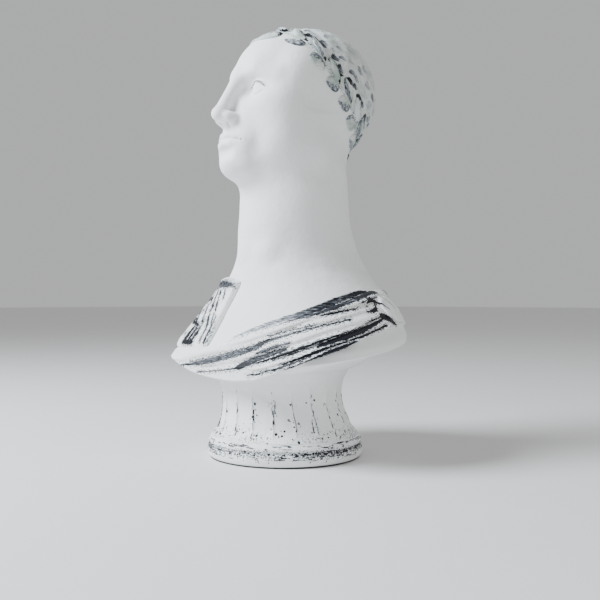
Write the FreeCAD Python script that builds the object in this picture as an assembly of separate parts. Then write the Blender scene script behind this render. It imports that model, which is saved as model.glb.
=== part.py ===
"""A white ceramic bust on a round fluted socle, modelled as the pieces it comes apart into.

Frame: millimetres, +Z up, origin at the centre of the foot's underside, the chest faces -Y and the bust's
own left shoulder is +X. The body is a set of hollow cast shells: a head-and-neck casting tenoned into a
shoulder casting along a sloping plane, three drapery slabs laid over the shoulders, a leaf wreath, and a
fluted socle on a foot ring. A steel rod set in a plaster plug draws the bust down onto the socle.
"""

import FreeCAD, Part

import math
import os

Vector = FreeCAD.Vector

# ---- driving dimensions, mm and degrees -------------------------------------------------------------------
TOTAL_HEIGHT = 400.0
WALL = 7.0                     # cast shell wall
FIT_GAP = 0.3                  # clearance round the head tenon
LAY_GAP = 0.1                  # slip joint between a slab and the shell it lies on

FELT_THICK = 1.5
FELT_RADIUS = 69.0
FOOT_TOP = 20.5
COLUMN_TOP = 80.0
FLUTES = 20
FLUTE_DEPTH = 1.1
BED_THICK = 1.2                # plaster bed between socle and bust
BED_BORE = 30.0
BED_RADIUS = 58.5
BUST_BASE = COLUMN_TOP + BED_THICK

HEAD_HEIGHT = 162.0            # chin to crown
HEAD_WIDTH = 112.0
HEAD_DEPTH = 146.0             # brow to back of skull
HEAD_CENTRE = Vector(0, 18.0, TOTAL_HEIGHT - 79.5)
HEAD_TURN = 13.0               # towards the bust's own right
HEAD_LIFT = 12.0               # chin raised
CROWN_PLANE = Vector(6.0, 44.0, TOTAL_HEIGHT - 1.2)

NECK_CUT = 200.0               # the head's form takes over from the neck rings here
NECK_TOP = 275.0               # above this the sections' centres lean back towards the crown
SKIN_TURNS = 96                # points round each section, closest together over the face

TENON_LENGTH = 10.0
SPLIT_FRONT = (-72.0, 91.5)    # (y, z) of the sloping joint between head casting and shoulder casting
SPLIT_BACK = (84.0, 148.5)
FLOOR_TOP = 90.0               # inside face of the bust's floor
FLOOR_HOLE_RADIUS = 6.0

DRAPE_THICK = 5.0
FOLD_DEPTH = 1.6
FOLD_PITCH = 19.2              # vertical distance between folds; six pitches make one full turn's rise
FOLD_RISE = 0.32               # climb of each fold line, mm per degree of turn
FOLD_LAP = 4.5                 # thickness of the turned-over end at the shoulder

LEAF_LENGTH = 20.0
LEAF_WIDTH = 10.0
LEAF_THICK = 1.6
LEAF_PAIRS = 8                 # on each branch
STEM_RADIUS = 1.3

WEB_BOTTOM = 72.0              # plate across the top of the column
COLUMN_BORE = 46.5
TONGUE_RADIUS = 60.0           # locating ring under the column
TONGUE_BOTTOM = 16.6
PLUG_RADIUS = 41.0             # plaster cast round the rod, on the bust's floor
PLUG_TOP = 104.0
ROD_RADIUS = 4.0               # M8
ROD_BOTTOM = 60.0
ROD_TOP = 100.0
WASHER_RADIUS = 15.0
WASHER_THICK = 2.0
NUT_ACROSS_FLATS = 13.0
NUT_THICK = 6.5

# Horizontal rings of the body: height, centre y, half width, half depth, squareness, rise per mm of y.
BODY_RINGS = [
    (BUST_BASE, 2.0, 61.0, 60.0, 2.0, 0.00),
    (84.5, 3.0, 77.0, 68.0, 2.2, 0.06),
    (88.0, 4.0, 92.0, 74.0, 2.4, 0.10),
    (93.0, 5.0, 105.0, 78.0, 2.5, 0.12),
    (98.0, 6.0, 112.0, 80.0, 2.5, 0.125),
    (103.0, 7.5, 112.0, 80.0, 2.5, 0.12),
    (116.0, 12.0, 106.0, 78.0, 2.5, 0.10),
    (130.0, 15.5, 96.0, 75.0, 2.4, 0.08),
    (147.0, 18.5, 81.0, 70.0, 2.3, 0.05),
    (160.0, 20.5, 69.0, 67.0, 2.2, 0.02),
    (173.0, 20.5, 59.0, 64.5, 2.1, 0.00),
    (193.0, 17.7, 51.5, 60.0, 2.0, 0.00),
    (215.0, 13.4, 49.0, 56.0, 2.0, 0.00),
    (245.0, 13.0, 48.0, 53.0, 2.0, 0.00),
    (275.0, 14.0, 44.0, 50.0, 2.0, 0.00),
    (300.0, 14.0, 42.0, 47.0, 2.0, 0.00),
]
# The hollow inside, from the bust's floor to the crown: same columns.
CAVITY_RINGS = [
    (FLOOR_TOP, 2.0, 47.0, 46.0, 2.0, 0.00),
    (94.0, 4.0, 82.0, 61.0, 2.3, 0.08),
    (100.5, 6.5, 104.0, 72.0, 2.5, 0.115),
    (116.0, 12.0, 98.5, 70.5, 2.5, 0.10),
    (130.0, 15.5, 88.5, 67.5, 2.4, 0.08),
    (147.0, 18.5, 73.5, 62.5, 2.3, 0.05),
    (160.0, 20.5, 61.5, 59.5, 2.2, 0.02),
    (173.0, 20.5, 51.5, 57.0, 2.1, 0.00),
    (193.0, 17.7, 44.0, 52.5, 2.0, 0.00),
    (215.0, 14.0, 41.5, 47.5, 2.0, 0.00),
    (245.0, 14.0, 39.0, 43.0, 2.0, 0.00),
    (280.0, 15.0, 37.0, 41.5, 2.0, 0.00),
    (320.0, 21.0, 42.0, 51.5, 2.0, 0.00),
    (355.0, 27.0, 38.0, 48.0, 2.0, 0.00),
    (378.0, 34.0, 24.0, 30.0, 2.0, 0.00),
    (386.0, 36.0, 8.0, 12.0, 2.0, 0.00),
]

# Outer radius of the socle's column by height.
COLUMN_PROFILE = [
    (20.5, 67.6), (24.0, 65.0), (29.0, 62.0), (34.7, 59.8), (41.0, 57.8), (48.7, 56.1), (55.0, 55.6),
    (61.0, 55.8), (70.3, 57.3), (76.0, 59.9), (COLUMN_TOP, 61.3),
]
# Outline of the foot ring's outside, upwards: a rounded band, a groove and a short cove.
FOOT_PROFILE = [
    (70.3, FELT_THICK), (71.5, 4.0), (71.7, 8.0), (71.1, 11.8), (69.9, 13.0), (70.3, 14.2), (69.6, 17.2),
    (68.5, 19.6), (68.0, FOOT_TOP),
]


# ---- curves and small helpers -----------------------------------------------------------------------------
def lerp(a, b, t):
    return a + (b - a) * t


def smoothstep(t):
    t = max(0.0, min(1.0, t))
    return t * t * (3 - 2 * t)


def table_value(table, key, column):
    """Smooth value of a column at a key, by monotone cubic steps between the table's rows."""
    keys = [row[0] for row in table]
    if key <= keys[0]:
        return table[0][column]
    if key >= keys[-1]:
        return table[-1][column]
    i = max(j for j in range(len(keys) - 1) if keys[j] <= key)
    value = [row[column] for row in table]

    def slope(j):
        if j in (0, len(keys) - 1):
            return 0.0 if j else (value[1] - value[0]) / (keys[1] - keys[0])
        before = (value[j] - value[j - 1]) / (keys[j] - keys[j - 1])
        after = (value[j + 1] - value[j]) / (keys[j + 1] - keys[j])
        return 0.0 if before * after <= 0 else 2 * before * after / (before + after)

    step = keys[i + 1] - keys[i]
    t = (key - keys[i]) / step
    a, b = value[i], value[i + 1]
    ma, mb = slope(i) * step, slope(i + 1) * step
    return a + t * (ma + t * (3 * (b - a) - 2 * ma - mb + t * (2 * (a - b) + ma + mb)))


def oval_radius(turn, half_width, half_depth, squareness):
    """Radius of a rounded-square oval in the direction turn, in radians from the front towards +X."""
    s = abs(math.sin(turn)) / half_width
    c = abs(math.cos(turn)) / half_depth
    return (s ** squareness + c ** squareness) ** (-1.0 / squareness)


def ring_point(rings, turn, height, proud=0.0):
    """A point on the ring surface at a turn and ring height, standing proud by an offset."""
    centre_y, width, depth, square, rise = (table_value(rings, height, k) for k in range(1, 6))
    r = oval_radius(turn, width + proud, depth + proud, square)
    x, y = r * math.sin(turn), -r * math.cos(turn)
    return Vector(x, centre_y + y, height + rise * y)


def closed_wire(points):
    curve = Part.BSplineCurve()
    count = len(points)
    curve.interpolate(Points=points, PeriodicFlag=True, Parameters=[i / count for i in range(count + 1)])
    return Part.Wire([curve.toShape()])


def loft_rings(rings, heights, turns, proud=0.0):
    wires = [closed_wire([ring_point(rings, t, h, proud) for t in turns]) for h in heights]
    return Part.makeLoft(wires, True, True)


def even_turns(count):
    """Turns once round, starting at the back."""
    return [math.radians(-180 + 360 * i / count) for i in range(count)]


def steps(low, high, count):
    return [lerp(low, high, i / (count - 1)) for i in range(count)]


def revolve(profile):
    """A solid of revolution about Z from (radius, height) corners."""
    wire = Part.makePolygon([Vector(r, 0, z) for r, z in profile + profile[:1]])
    return Part.Face(wire).revolve(Vector(0, 0, 0), Vector(0, 0, 1), 360)


def ring_of(inner, outer, low, high):
    disc = Part.makeCylinder(outer, high - low, Vector(0, 0, low))
    return disc.cut(Part.makeCylinder(inner, high - low + 2, Vector(0, 0, low - 1)))


# ---- head: an implicit form blended from soft blobs, in head coordinates ------------------------------------
# Head coordinates: origin at mid head, -y towards the face, z up, in mm. The face follows the classical
# canon: eyes at half height, thirds from hairline to brow to nose base to chin, one eye width between eyes.
UNIT = HEAD_HEIGHT / 100.0
EYE_X = 0.125 * HEAD_HEIGHT
BROW_Z = 8.0 * UNIT
NOSE_BASE_Z = -21.0 * UNIT
MOUTH_Z = -30.5 * UNIT
FACE_Y = -HEAD_DEPTH / 2

SKULL = ((0, 10, 22), (HEAD_WIDTH / 2 - 1, HEAD_DEPTH / 2 - 9, HEAD_HEIGHT / 2 - 22))
LIP_Y = FACE_Y + 3.5
ADD, CARVE = 1, -1
# Soft forms joined to the skull or carved from it, in order: sign, softness of the joint, then either an
# ellipsoid (centre, radii) or a tapering rod (end, end, radius, radius). Each is mirrored in x.
HEAD_FORMS = [
    (ADD, 16, (0, -28, 24), (43, 40, 38)),                                                # forehead
    (ADD, 14, (0, -26, -22), (41, 42, 56)),                                               # face
    (ADD, 18, (0, -2, -20), (49, 46, 50)),                                                # temples to jaw
    (ADD, 16, (30, -8, -42), (16, 26, 20)),                                               # angle of the jaw
    (ADD, 12, (35, -2, -42), (13, -49, -65), 13, 11),                                     # jaw line
    (ADD, 13, (0, -55, -67), (13, 14, 13)),                                               # chin
    (ADD, 13, (28, -43, -14), (14, 14, 12)),                                              # cheekbone
    (ADD, 10, (3, FACE_Y + 10.5, BROW_Z - 1.5), (18, FACE_Y + 13.5, BROW_Z + 3.5), 6, 6),  # inner brow
    (ADD, 10, (18, FACE_Y + 13.5, BROW_Z + 3.5), (33, FACE_Y + 25, BROW_Z - 1), 6, 4),     # outer brow
    (CARVE, 6, (EYE_X, FACE_Y + 3, -1), (15, 13.5, 9.5)),                                 # eye socket
    (ADD, 8, (0, FACE_Y + 5, BROW_Z - 3), (0, FACE_Y - 6.5, NOSE_BASE_Z + 7), 5.4, 7.2),  # bridge of the nose
    (ADD, 4, (8.2, FACE_Y + 2, NOSE_BASE_Z + 3.8), (5, 8.4, 5.4)),                        # wing of the nose
    (ADD, 10, (0, FACE_Y + 17, MOUTH_Z + 1), (24, 13, 17)),                               # round the mouth
    (ADD, 4, (0, LIP_Y, MOUTH_Z + 3.6), (18, LIP_Y + 7.5, MOUTH_Z + 1), 3.6, 1.4),        # upper lip
    (ADD, 4, (0, LIP_Y + 1, MOUTH_Z - 4.4), (16, LIP_Y + 7.5, MOUTH_Z - 1.4), 4.4, 1.6),  # lower lip
    (ADD, 2, (EYE_X, FACE_Y + 25, -0.5), (12.5, 12.5, 9)),                                # closed eye
]


def ellipsoid(p, centre, radii):
    q = [(p[k] - centre[k]) / radii[k] for k in range(3)]
    k0 = math.sqrt(sum(v * v for v in q))
    k1 = math.sqrt(sum((q[k] / radii[k]) ** 2 for k in range(3)))
    return k0 * (k0 - 1) / max(k1, 1e-9)


def round_cone(p, a, b, ra, rb):
    ab = [b[k] - a[k] for k in range(3)]
    ap = [p[k] - a[k] for k in range(3)]
    t = max(0.0, min(1.0, sum(ab[k] * ap[k] for k in range(3)) / sum(v * v for v in ab)))
    return math.sqrt(sum((ap[k] - ab[k] * t) ** 2 for k in range(3))) - lerp(ra, rb, t)


def blend(a, b, k):
    """Smooth union of two distances."""
    h = max(k - abs(a - b), 0.0) / k
    return min(a, b) - h * h * k / 4


def carve(a, b, k):
    """Distance a with b taken away, with a soft edge."""
    return -blend(-a, b, k)


def head_distance(p):
    q = (abs(p[0]), p[1], p[2])
    d = ellipsoid(q, *SKULL)
    for sign, softness, *form in HEAD_FORMS:
        other = ellipsoid(q, *form) if len(form) == 2 else round_cone(q, *form)
        d = blend(d, other, softness) if sign == ADD else carve(d, other, softness)
    return d


def head_axes():
    """Rotation from head coordinates to the row frame: the lift first, then the turn."""
    turn, lift = math.radians(-HEAD_TURN), math.radians(-HEAD_LIFT)
    ct, st, cl, sl = math.cos(turn), math.sin(turn), math.cos(lift), math.sin(lift)
    return ((ct, -st * cl, st * sl), (st, ct * cl, -ct * sl), (0, sl, cl))


HEAD_AXES = head_axes()


def to_row(v):
    """A direction in head coordinates, turned into the row frame."""
    return Vector(*(sum(HEAD_AXES[i][k] * v[k] for k in range(3)) for i in range(3)))


def to_head(p):
    q = p - HEAD_CENTRE
    return tuple(sum(HEAD_AXES[i][k] * q[i] for i in range(3)) for k in range(3))


def neck_distance(p):
    centre_y, width, depth = (table_value(BODY_RINGS, p.z, k) for k in range(1, 4))
    flat = math.hypot(p.x / width, (p.y - centre_y) / depth)
    return max((flat - 1) * min(width, depth), p.z - BODY_RINGS[-1][0])


def skin_distance(p):
    return blend(head_distance(to_head(p)), neck_distance(p), 16)


def skin_reach(origin, direction):
    """How far the outermost skin point is along a ray from inside the head or neck."""
    reach, step = 125.0, 2.5
    while reach > step and skin_distance(origin + direction * reach) > 0:
        reach -= step
    low, high = reach, reach + step
    for _ in range(9):
        mid = (low + high) / 2
        if skin_distance(origin + direction * mid) > 0:
            high = mid
        else:
            low = mid
    return low


def skin_turns():
    """Turns once round from the back of the head, closest together over the face."""
    turns = []
    for i in range(SKIN_TURNS):
        u = 2.0 * i / SKIN_TURNS - 1.0
        turns.append(math.radians(180 * u * (0.55 + 0.45 * abs(u)) - HEAD_TURN))
    return turns


def skin_section(height, turns):
    """One horizontal section of the head and neck, its relief softened between neighbouring points."""
    share = max(0.0, (height - NECK_TOP) / (CROWN_PLANE.z - NECK_TOP))
    axis_y = table_value(BODY_RINGS, min(height, NECK_TOP), 1)
    centre = Vector(CROWN_PLANE.x * share, lerp(axis_y, CROWN_PLANE.y, share), height)
    rays = [Vector(math.sin(t), -math.cos(t), 0) for t in turns]
    reach = [skin_reach(centre, ray) for ray in rays]
    soft = [(reach[i - 1] + 2 * reach[i] + reach[(i + 1) % len(reach)]) / 4 for i in range(len(reach))]
    return [centre + ray * r for ray, r in zip(rays, soft)]


def skin_solid():
    """Everything from the bust's base to the crown, as one outer skin before it is split and hollowed."""
    turns = skin_turns()
    low_rows = steps(BUST_BASE, 93, 6) + steps(93, NECK_CUT - 3.5, 20)[1:]
    high_rows = steps(NECK_CUT, 384, 53) + [387.5, 390.5, 393.2, 395.5, 397.3, CROWN_PLANE.z]
    rows = [[ring_point(BODY_RINGS, t, h) for t in turns] for h in low_rows]
    rows += [skin_section(h, turns) for h in high_rows]
    return Part.makeLoft([closed_wire(row) for row in rows], True, True)


def head_direction(turn, fall):
    """A direction from the head's centre: turn round the crown axis, fall down from it, in radians."""
    local = (math.sin(turn) * math.sin(fall), -math.cos(turn) * math.sin(fall), math.cos(fall))
    return to_row(local)


# ---- castings: the skin split along a sloping plane, hollowed, with a tenon and its socket ------------------
def below_joint(drop):
    """Everything under the sloping joint plane, lowered by drop."""
    (y0, z0), (y1, z1) = SPLIT_FRONT, SPLIT_BACK
    slope = (z1 - z0) / (y1 - y0)
    left, right = -150.0, 150.0
    section = [(left, z0 + slope * (left - y0) - drop), (right, z0 + slope * (right - y0) - drop)]
    section += [(right, 40.0), (left, 40.0)]
    corners = [Vector(-200, y, z) for y, z in section]
    return Part.Face(Part.makePolygon(corners + corners[:1])).extrude(Vector(400, 0, 0))


def inner_form(inset):
    """The body's form drawn in by inset, over the heights that the joint passes through."""
    return loft_rings(BODY_RINGS, steps(86, 170, 13), even_turns(48), -inset)


def cavity():
    heights = [FLOOR_TOP, 92, 94, 97, 100.5] + steps(108, CAVITY_RINGS[-1][0], 18)
    return loft_rings(CAVITY_RINGS, heights, even_turns(40))


def tenon_form(inset, depth):
    """The inner form from the tenon's lower end upwards: depth under the joint, never under the floor."""
    floor = Part.makeBox(400, 400, 100, Vector(-200, -200, FLOOR_TOP + FIT_GAP - 100))
    return inner_form(inset).cut(below_joint(depth)).cut(floor)


def head_neck(skin, hollow):
    above = skin.cut(below_joint(0.0))
    tenon = tenon_form(WALL / 2 + FIT_GAP / 2, TENON_LENGTH).common(below_joint(-1.0))
    return above.fuse(tenon).cut(hollow)


def shoulder_shell(skin, hollow):
    socket = tenon_form(WALL / 2 - FIT_GAP / 2, TENON_LENGTH + FIT_GAP)
    hole = Part.makeCylinder(FLOOR_HOLE_RADIUS, 40, Vector(0, 0, 60))
    shell = skin.common(below_joint(0.0)).cut(hollow).cut(socket).cut(hole)
    shell.fix(1e-4, 1e-4, 1e-3)
    return shell


# ---- drapery: folded slabs over the shoulders, each cut from one draped shell by its own outline --------------
# Outlines: turn from the front towards +X in degrees, height of the lower edge, height of the upper edge.
OUTLINE_CENTRE_Y = 10.0
SASH_EDGES = [
    (-84, 90.0, 95.5), (-74, 87.5, 97.5), (-60, 84.7, 99.0), (-40, 82.6, 99.5), (-19, 82.0, 102.5),
    (8, 81.8, 112.0), (33, 82.8, 123.0), (45, 87.5, 129.0), (52, 93.5, 132.5), (65, 103.0, 139.0),
    (81, 114.0, 146.0), (100, 119.5, 152.0),
    (115, 121.5, 153.2), (130, 121.5, 153.7),
]
RIGHT_EDGES = [
    (-130, 97.0, 158.0), (-110, 95.0, 160.0), (-92, 95.5, 162.5), (-84, 97.0, 163.5), (-74, 98.8, 164.5),
    (-59, 99.8, 166.0), (-40, 100.3, 165.0), (-20, 103.0, 163.0), (-14, 122.0, 161.5), (-8, 145.0, 160.0),
    (-4, 157.0, 159.5),
]
BACK_EDGES = [
    (130, 121.5, 153.7), (150, 119.0, 155.5), (170, 114.0, 156.5), (190, 108.0, 157.5), (210, 102.0, 158.0),
    (230, 97.0, 158.0),
]
LAP_EDGES = [
    (94, 136.0, 141.0), (96, 130.0, 145.0), (99, 126.0, 147.0), (103, 124.0, 147.0), (107, 124.5, 144.0),
    (110, 127.0, 139.0),
]


def fold_height(turn, height):
    """Relief of the folds, which climb towards the bust's own left shoulder."""
    line = height - FOLD_RISE * math.degrees(turn)
    return FOLD_DEPTH * (0.5 + 0.5 * math.sin(2 * math.pi * line / FOLD_PITCH))


def draped_surface(proud, folded, low=82.5, high=172.0):
    """Everything inside a surface that stands proud of the body, with or without the folds."""
    wires = []
    for height in steps(low, high, 19):
        points = []
        for turn in even_turns(96):
            relief = fold_height(turn, height) if folded else 0.0
            points.append(ring_point(BODY_RINGS, turn, height, proud + relief))
        wires.append(closed_wire(points))
    return Part.makeLoft(wires, True, True)


def draped_body():
    """The body grown by the slip joint, reaching past both ends of every draped surface."""
    return draped_surface(LAY_GAP, False, 81.6, 173.5)


def main_solid(shape):
    """The largest solid of a cut shape, without the slivers left at its ends."""
    return max(shape.Solids, key=lambda solid: solid.Volume)


def draped_shell():
    """A folded shell over the shoulders, lying on the castings."""
    return main_solid(draped_surface(DRAPE_THICK, True).cut(draped_body()))


def outline_cutter(edges):
    """A radial wedge from the axis outwards, bounded by an outline of (turn, lower, upper) stations."""
    count = max(12, int(abs(edges[-1][0] - edges[0][0]) / 6))
    wires = []
    for degrees in steps(edges[0][0], edges[-1][0], count):
        turn = math.radians(degrees)
        low, high = table_value(edges, degrees, 1), table_value(edges, degrees, 2)
        corners = []
        for radius, height in ((25, low), (150, low), (150, high), (25, high)):
            x, y = radius * math.sin(turn), OUTLINE_CENTRE_Y - radius * math.cos(turn)
            corners.append(Vector(x, y, height))
        wires.append(Part.makePolygon(corners + corners[:1]))
    return Part.makeLoft(wires, True, True)


def drape_slab(shell, edges):
    return main_solid(shell.common(outline_cutter(edges)))


def shoulder_fold(shell):
    """The sash's turned-over end, lying on the sash at the shoulder."""
    block = draped_surface(DRAPE_THICK + FOLD_LAP, False).common(outline_cutter(LAP_EDGES))
    return main_solid(block.cut(draped_body()).cut(shell))


# ---- wreath: two laurel branches from the nape to the forehead ----------------------------------------------
def wreath_fall(turn):
    """How far down from the crown the wreath runs: above the forehead in front, at the nape behind."""
    return math.radians(38.0 + 75.0 * (0.5 - 0.5 * math.cos(turn)) ** 1.25)


def on_head(turn, fall, lift):
    ray = head_direction(turn, fall)
    return HEAD_CENTRE + ray * (skin_reach(HEAD_CENTRE, ray) + lift)


def wreath_stations(first, last, count):
    """Turns of evenly spaced places along one branch, between two turns in degrees."""
    fine = [math.radians(t) for t in steps(first, last, 91)]
    track = [head_direction(t, wreath_fall(t)) * 66.0 for t in fine]
    length = [0.0]
    for a, b in zip(track, track[1:]):
        length.append(length[-1] + (b - a).Length)
    turns = []
    for target in steps(0.0, length[-1], count):
        i = min(range(len(length)), key=lambda k: abs(length[k] - target))
        turns.append(fine[i])
    return turns


def leaf(side, root_turn, row):
    """One leaf of a branch: side is +1 or -1 of the head, row is +1 above or -1 below the stem."""
    fall = wreath_fall(root_turn)
    slant = math.radians(36)

    def place(along, across, lift):
        forward = along * math.cos(slant) - across * math.sin(slant)
        out = along * math.sin(slant) + across * math.cos(slant) + 2.0
        turn = root_turn - forward / (66.0 * math.sin(fall))
        here = wreath_fall(turn) - row * out / 66.0
        return on_head(side * turn, here, lift)

    sections = [Part.Vertex(place(0.0, 0.0, 0.8))]
    for share, fullness in ((0.22, 0.72), (0.5, 1.0), (0.8, 0.66)):
        along, half = share * LEAF_LENGTH, fullness * LEAF_WIDTH / 2
        tip_lift = 1.2 * share
        edge = [(half, 0.7), (half * 0.5, LEAF_THICK), (0.0, LEAF_THICK + 0.4), (-half * 0.5, LEAF_THICK)]
        edge += [(-half, 0.7), (0.0, 0.35)]
        points = [place(along, across, lift + tip_lift) for across, lift in edge]
        sections.append(closed_wire(points))
    sections.append(Part.Vertex(place(LEAF_LENGTH, 0.0, 2.2)))
    return Part.makeLoft(sections, True, False)


def wreath_leaves():
    turns = wreath_stations(27, 172, LEAF_PAIRS)
    return [leaf(side, turn, row) for side in (1, -1) for turn in turns for row in (1, -1)]


def wreath_stem():
    branches = []
    for side in (1, -1):
        points = [on_head(side * t, wreath_fall(t), STEM_RADIUS + 0.3) for t in wreath_stations(5, 176, 16)]
        path = Part.BSplineCurve()
        path.interpolate(points)
        start = path.tangent(path.FirstParameter)[0]
        circle = Part.Wire([Part.makeCircle(STEM_RADIUS, points[0], start)])
        branches.append(Part.Wire([path.toShape()]).makePipeShell([circle], True, True))
    return branches


# ---- socle: fluted column on a foot ring, all round about Z ---------------------------------------------------
def fluted_ring(height):
    radius = table_value(COLUMN_PROFILE, height, 1)
    fade = smoothstep((height - 24.0) / 8.0) * smoothstep((76.0 - height) / 6.0)
    points = []
    for turn in even_turns(FLUTES * 8):
        r = radius - FLUTE_DEPTH * fade * (0.5 + 0.5 * math.cos(FLUTES * turn))
        points.append(Vector(r * math.sin(turn), -r * math.cos(turn), height))
    return closed_wire(points)


def socle_column():
    outside = Part.makeLoft([fluted_ring(h) for h in steps(FOOT_TOP, COLUMN_TOP, 14)], True, False)
    bore = Part.makeCylinder(COLUMN_BORE, WEB_BOTTOM - 10, Vector(0, 0, 10))
    tongue = ring_of(COLUMN_BORE, TONGUE_RADIUS, TONGUE_BOTTOM, FOOT_TOP + 1)
    hole = Part.makeCylinder(ROD_RADIUS + 1, 30, Vector(0, 0, 60))
    return outside.cut(bore).fuse(tongue).cut(hole)


def socle_foot():
    rebate = [(TONGUE_RADIUS + FIT_GAP, FOOT_TOP), (TONGUE_RADIUS + FIT_GAP, TONGUE_BOTTOM - 0.1)]
    bore = [(COLUMN_BORE, TONGUE_BOTTOM - 0.1), (COLUMN_BORE, FELT_THICK)]
    return revolve(FOOT_PROFILE + rebate + bore)


# ---- fixing: one rod cast into the bust, drawn down by a nut under the socle's top plate --------------------
def seat_bed():
    return ring_of(BED_BORE, BED_RADIUS, COLUMN_TOP, BUST_BASE)


def anchor_plug():
    plug = Part.makeCylinder(PLUG_RADIUS, PLUG_TOP - FLOOR_TOP, Vector(0, 0, FLOOR_TOP))
    return plug.cut(Part.makeCylinder(ROD_RADIUS, ROD_TOP - FLOOR_TOP, Vector(0, 0, FLOOR_TOP)))


def tie_rod():
    return Part.makeCylinder(ROD_RADIUS, ROD_TOP - ROD_BOTTOM, Vector(0, 0, ROD_BOTTOM))


def clamp_washer():
    return ring_of(ROD_RADIUS + 0.2, WASHER_RADIUS, WEB_BOTTOM - WASHER_THICK, WEB_BOTTOM)


def clamp_nut():
    top = WEB_BOTTOM - WASHER_THICK
    across_corners = NUT_ACROSS_FLATS / math.cos(math.radians(30)) / 2
    corners = [Vector(across_corners * math.cos(a), across_corners * math.sin(a), top - NUT_THICK)
               for a in (math.radians(60 * i) for i in range(6))]
    hexagon = Part.Face(Part.makePolygon(corners + corners[:1])).extrude(Vector(0, 0, NUT_THICK))
    return hexagon.cut(Part.makeCylinder(ROD_RADIUS, 40, Vector(0, 0, 50)))


def felt_pad():
    return Part.makeCylinder(FELT_RADIUS, FELT_THICK)


def build_parts():
    skin = skin_solid()
    hollow = cavity()
    shell = draped_shell()
    return {
        "head_neck": head_neck(skin, hollow),
        "shoulder_shell": shoulder_shell(skin, hollow),
        "drape_sash": drape_slab(shell, SASH_EDGES),
        "drape_right": drape_slab(shell, RIGHT_EDGES),
        "drape_back": drape_slab(shell, BACK_EDGES),
        "shoulder_fold": shoulder_fold(shell),
        "wreath_leaves": Part.makeCompound(wreath_leaves()),
        "wreath_stem": Part.makeCompound(wreath_stem()),
        "socle_column": socle_column(),
        "socle_foot": socle_foot(),
        "seat_bed": seat_bed(),
        "anchor_plug": anchor_plug(),
        "tie_rod": tie_rod(),
        "clamp_washer": clamp_washer(),
        "clamp_nut": clamp_nut(),
        "felt_pad": felt_pad(),
    }


os.makedirs("parts", exist_ok=True)
for part_name, part_shape in build_parts().items():
    part_shape.exportStep("parts/" + part_name + ".step")
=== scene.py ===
"""A white ceramic draped bust on a fluted socle: its visible surfaces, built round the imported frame.

Forms are worked out in millimetres in the row frame and turned into metres when a mesh is made.
"""

import math

import bpy
import numpy as np
import openvdb
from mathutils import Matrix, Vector

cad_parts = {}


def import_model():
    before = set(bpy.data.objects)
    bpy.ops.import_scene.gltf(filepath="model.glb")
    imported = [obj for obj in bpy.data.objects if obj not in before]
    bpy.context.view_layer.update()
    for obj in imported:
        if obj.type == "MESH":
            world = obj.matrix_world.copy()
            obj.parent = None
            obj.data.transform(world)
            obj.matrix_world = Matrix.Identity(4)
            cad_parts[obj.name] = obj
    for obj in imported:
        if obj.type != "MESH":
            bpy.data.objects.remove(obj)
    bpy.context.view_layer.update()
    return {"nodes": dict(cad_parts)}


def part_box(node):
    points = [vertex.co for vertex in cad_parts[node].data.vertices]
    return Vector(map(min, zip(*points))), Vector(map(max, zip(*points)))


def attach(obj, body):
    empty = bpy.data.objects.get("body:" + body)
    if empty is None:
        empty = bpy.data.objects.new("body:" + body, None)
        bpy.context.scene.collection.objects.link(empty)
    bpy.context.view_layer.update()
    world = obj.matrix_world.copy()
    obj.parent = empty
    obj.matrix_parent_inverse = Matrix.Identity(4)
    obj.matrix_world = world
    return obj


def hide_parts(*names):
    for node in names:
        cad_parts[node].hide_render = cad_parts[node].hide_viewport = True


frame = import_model()
MM = 0.001
BODY = "root"


def box_mm(node):
    low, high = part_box(node)
    return [v / MM for v in low], [v / MM for v in high]


FOOT_TOP = box_mm("socle_foot")[1][2]
FOOT_BOTTOM = box_mm("socle_foot")[0][2]
COLUMN_TOP = box_mm("socle_column")[1][2]
BUST_BASE = box_mm("seat_bed")[1][2]
CROWN = box_mm("head_neck")[1][2]

# ---- sizes of the bust, mm and degrees ----
HEAD_HEIGHT = 162.0
HEAD_WIDTH = 112.0
HEAD_DEPTH = 146.0
HEAD_CENTRE = np.array([0.0, 18.0, CROWN - 78.3])
HEAD_TURN = 13.0
HEAD_LIFT = 12.0
SPLIT_FRONT = (-72.0, 91.5)
SPLIT_BACK = (84.0, 148.5)
SLAB_THICK = 5.0
LAY_GAP = 0.1
SHELL_WALL = 7.0
HOLLOW_FLOOR = 97.0             # ring height where the hollow of the shoulders starts
FLUTES = 20

# Horizontal rings of the body: height, centre y, half width, half depth, squareness, rise per mm of y.
BODY_RINGS = [
    (BUST_BASE, 2, 61, 60, 2, 0.00),
    (BUST_BASE + 3.3, 3, 77, 68, 2.2, 0.06),
    (88, 4, 92, 74, 2.4, 0.10),
    (93, 5, 105, 78, 2.5, 0.12),
    (98, 6, 112, 80, 2.5, 0.125),
    (103, 7.5, 112, 80, 2.5, 0.12),
    (116, 12, 106, 78, 2.5, 0.10),
    (130, 15.5, 96, 75, 2.4, 0.08),
    (147, 18.5, 81, 70, 2.3, 0.05),
    (160, 20.5, 69, 67, 2.2, 0.02),
    (173, 20.5, 59, 64.5, 2.1, 0.00),
    (193, 17.7, 51.5, 60, 2, 0.00),
    (215, 13.4, 49, 56, 2, 0.00),
    (245, 13, 48, 53, 2, 0.00),
    (275, 14, 44, 50, 2, 0.00),
    (300, 14, 42, 47, 2, 0.00),
]


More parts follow.
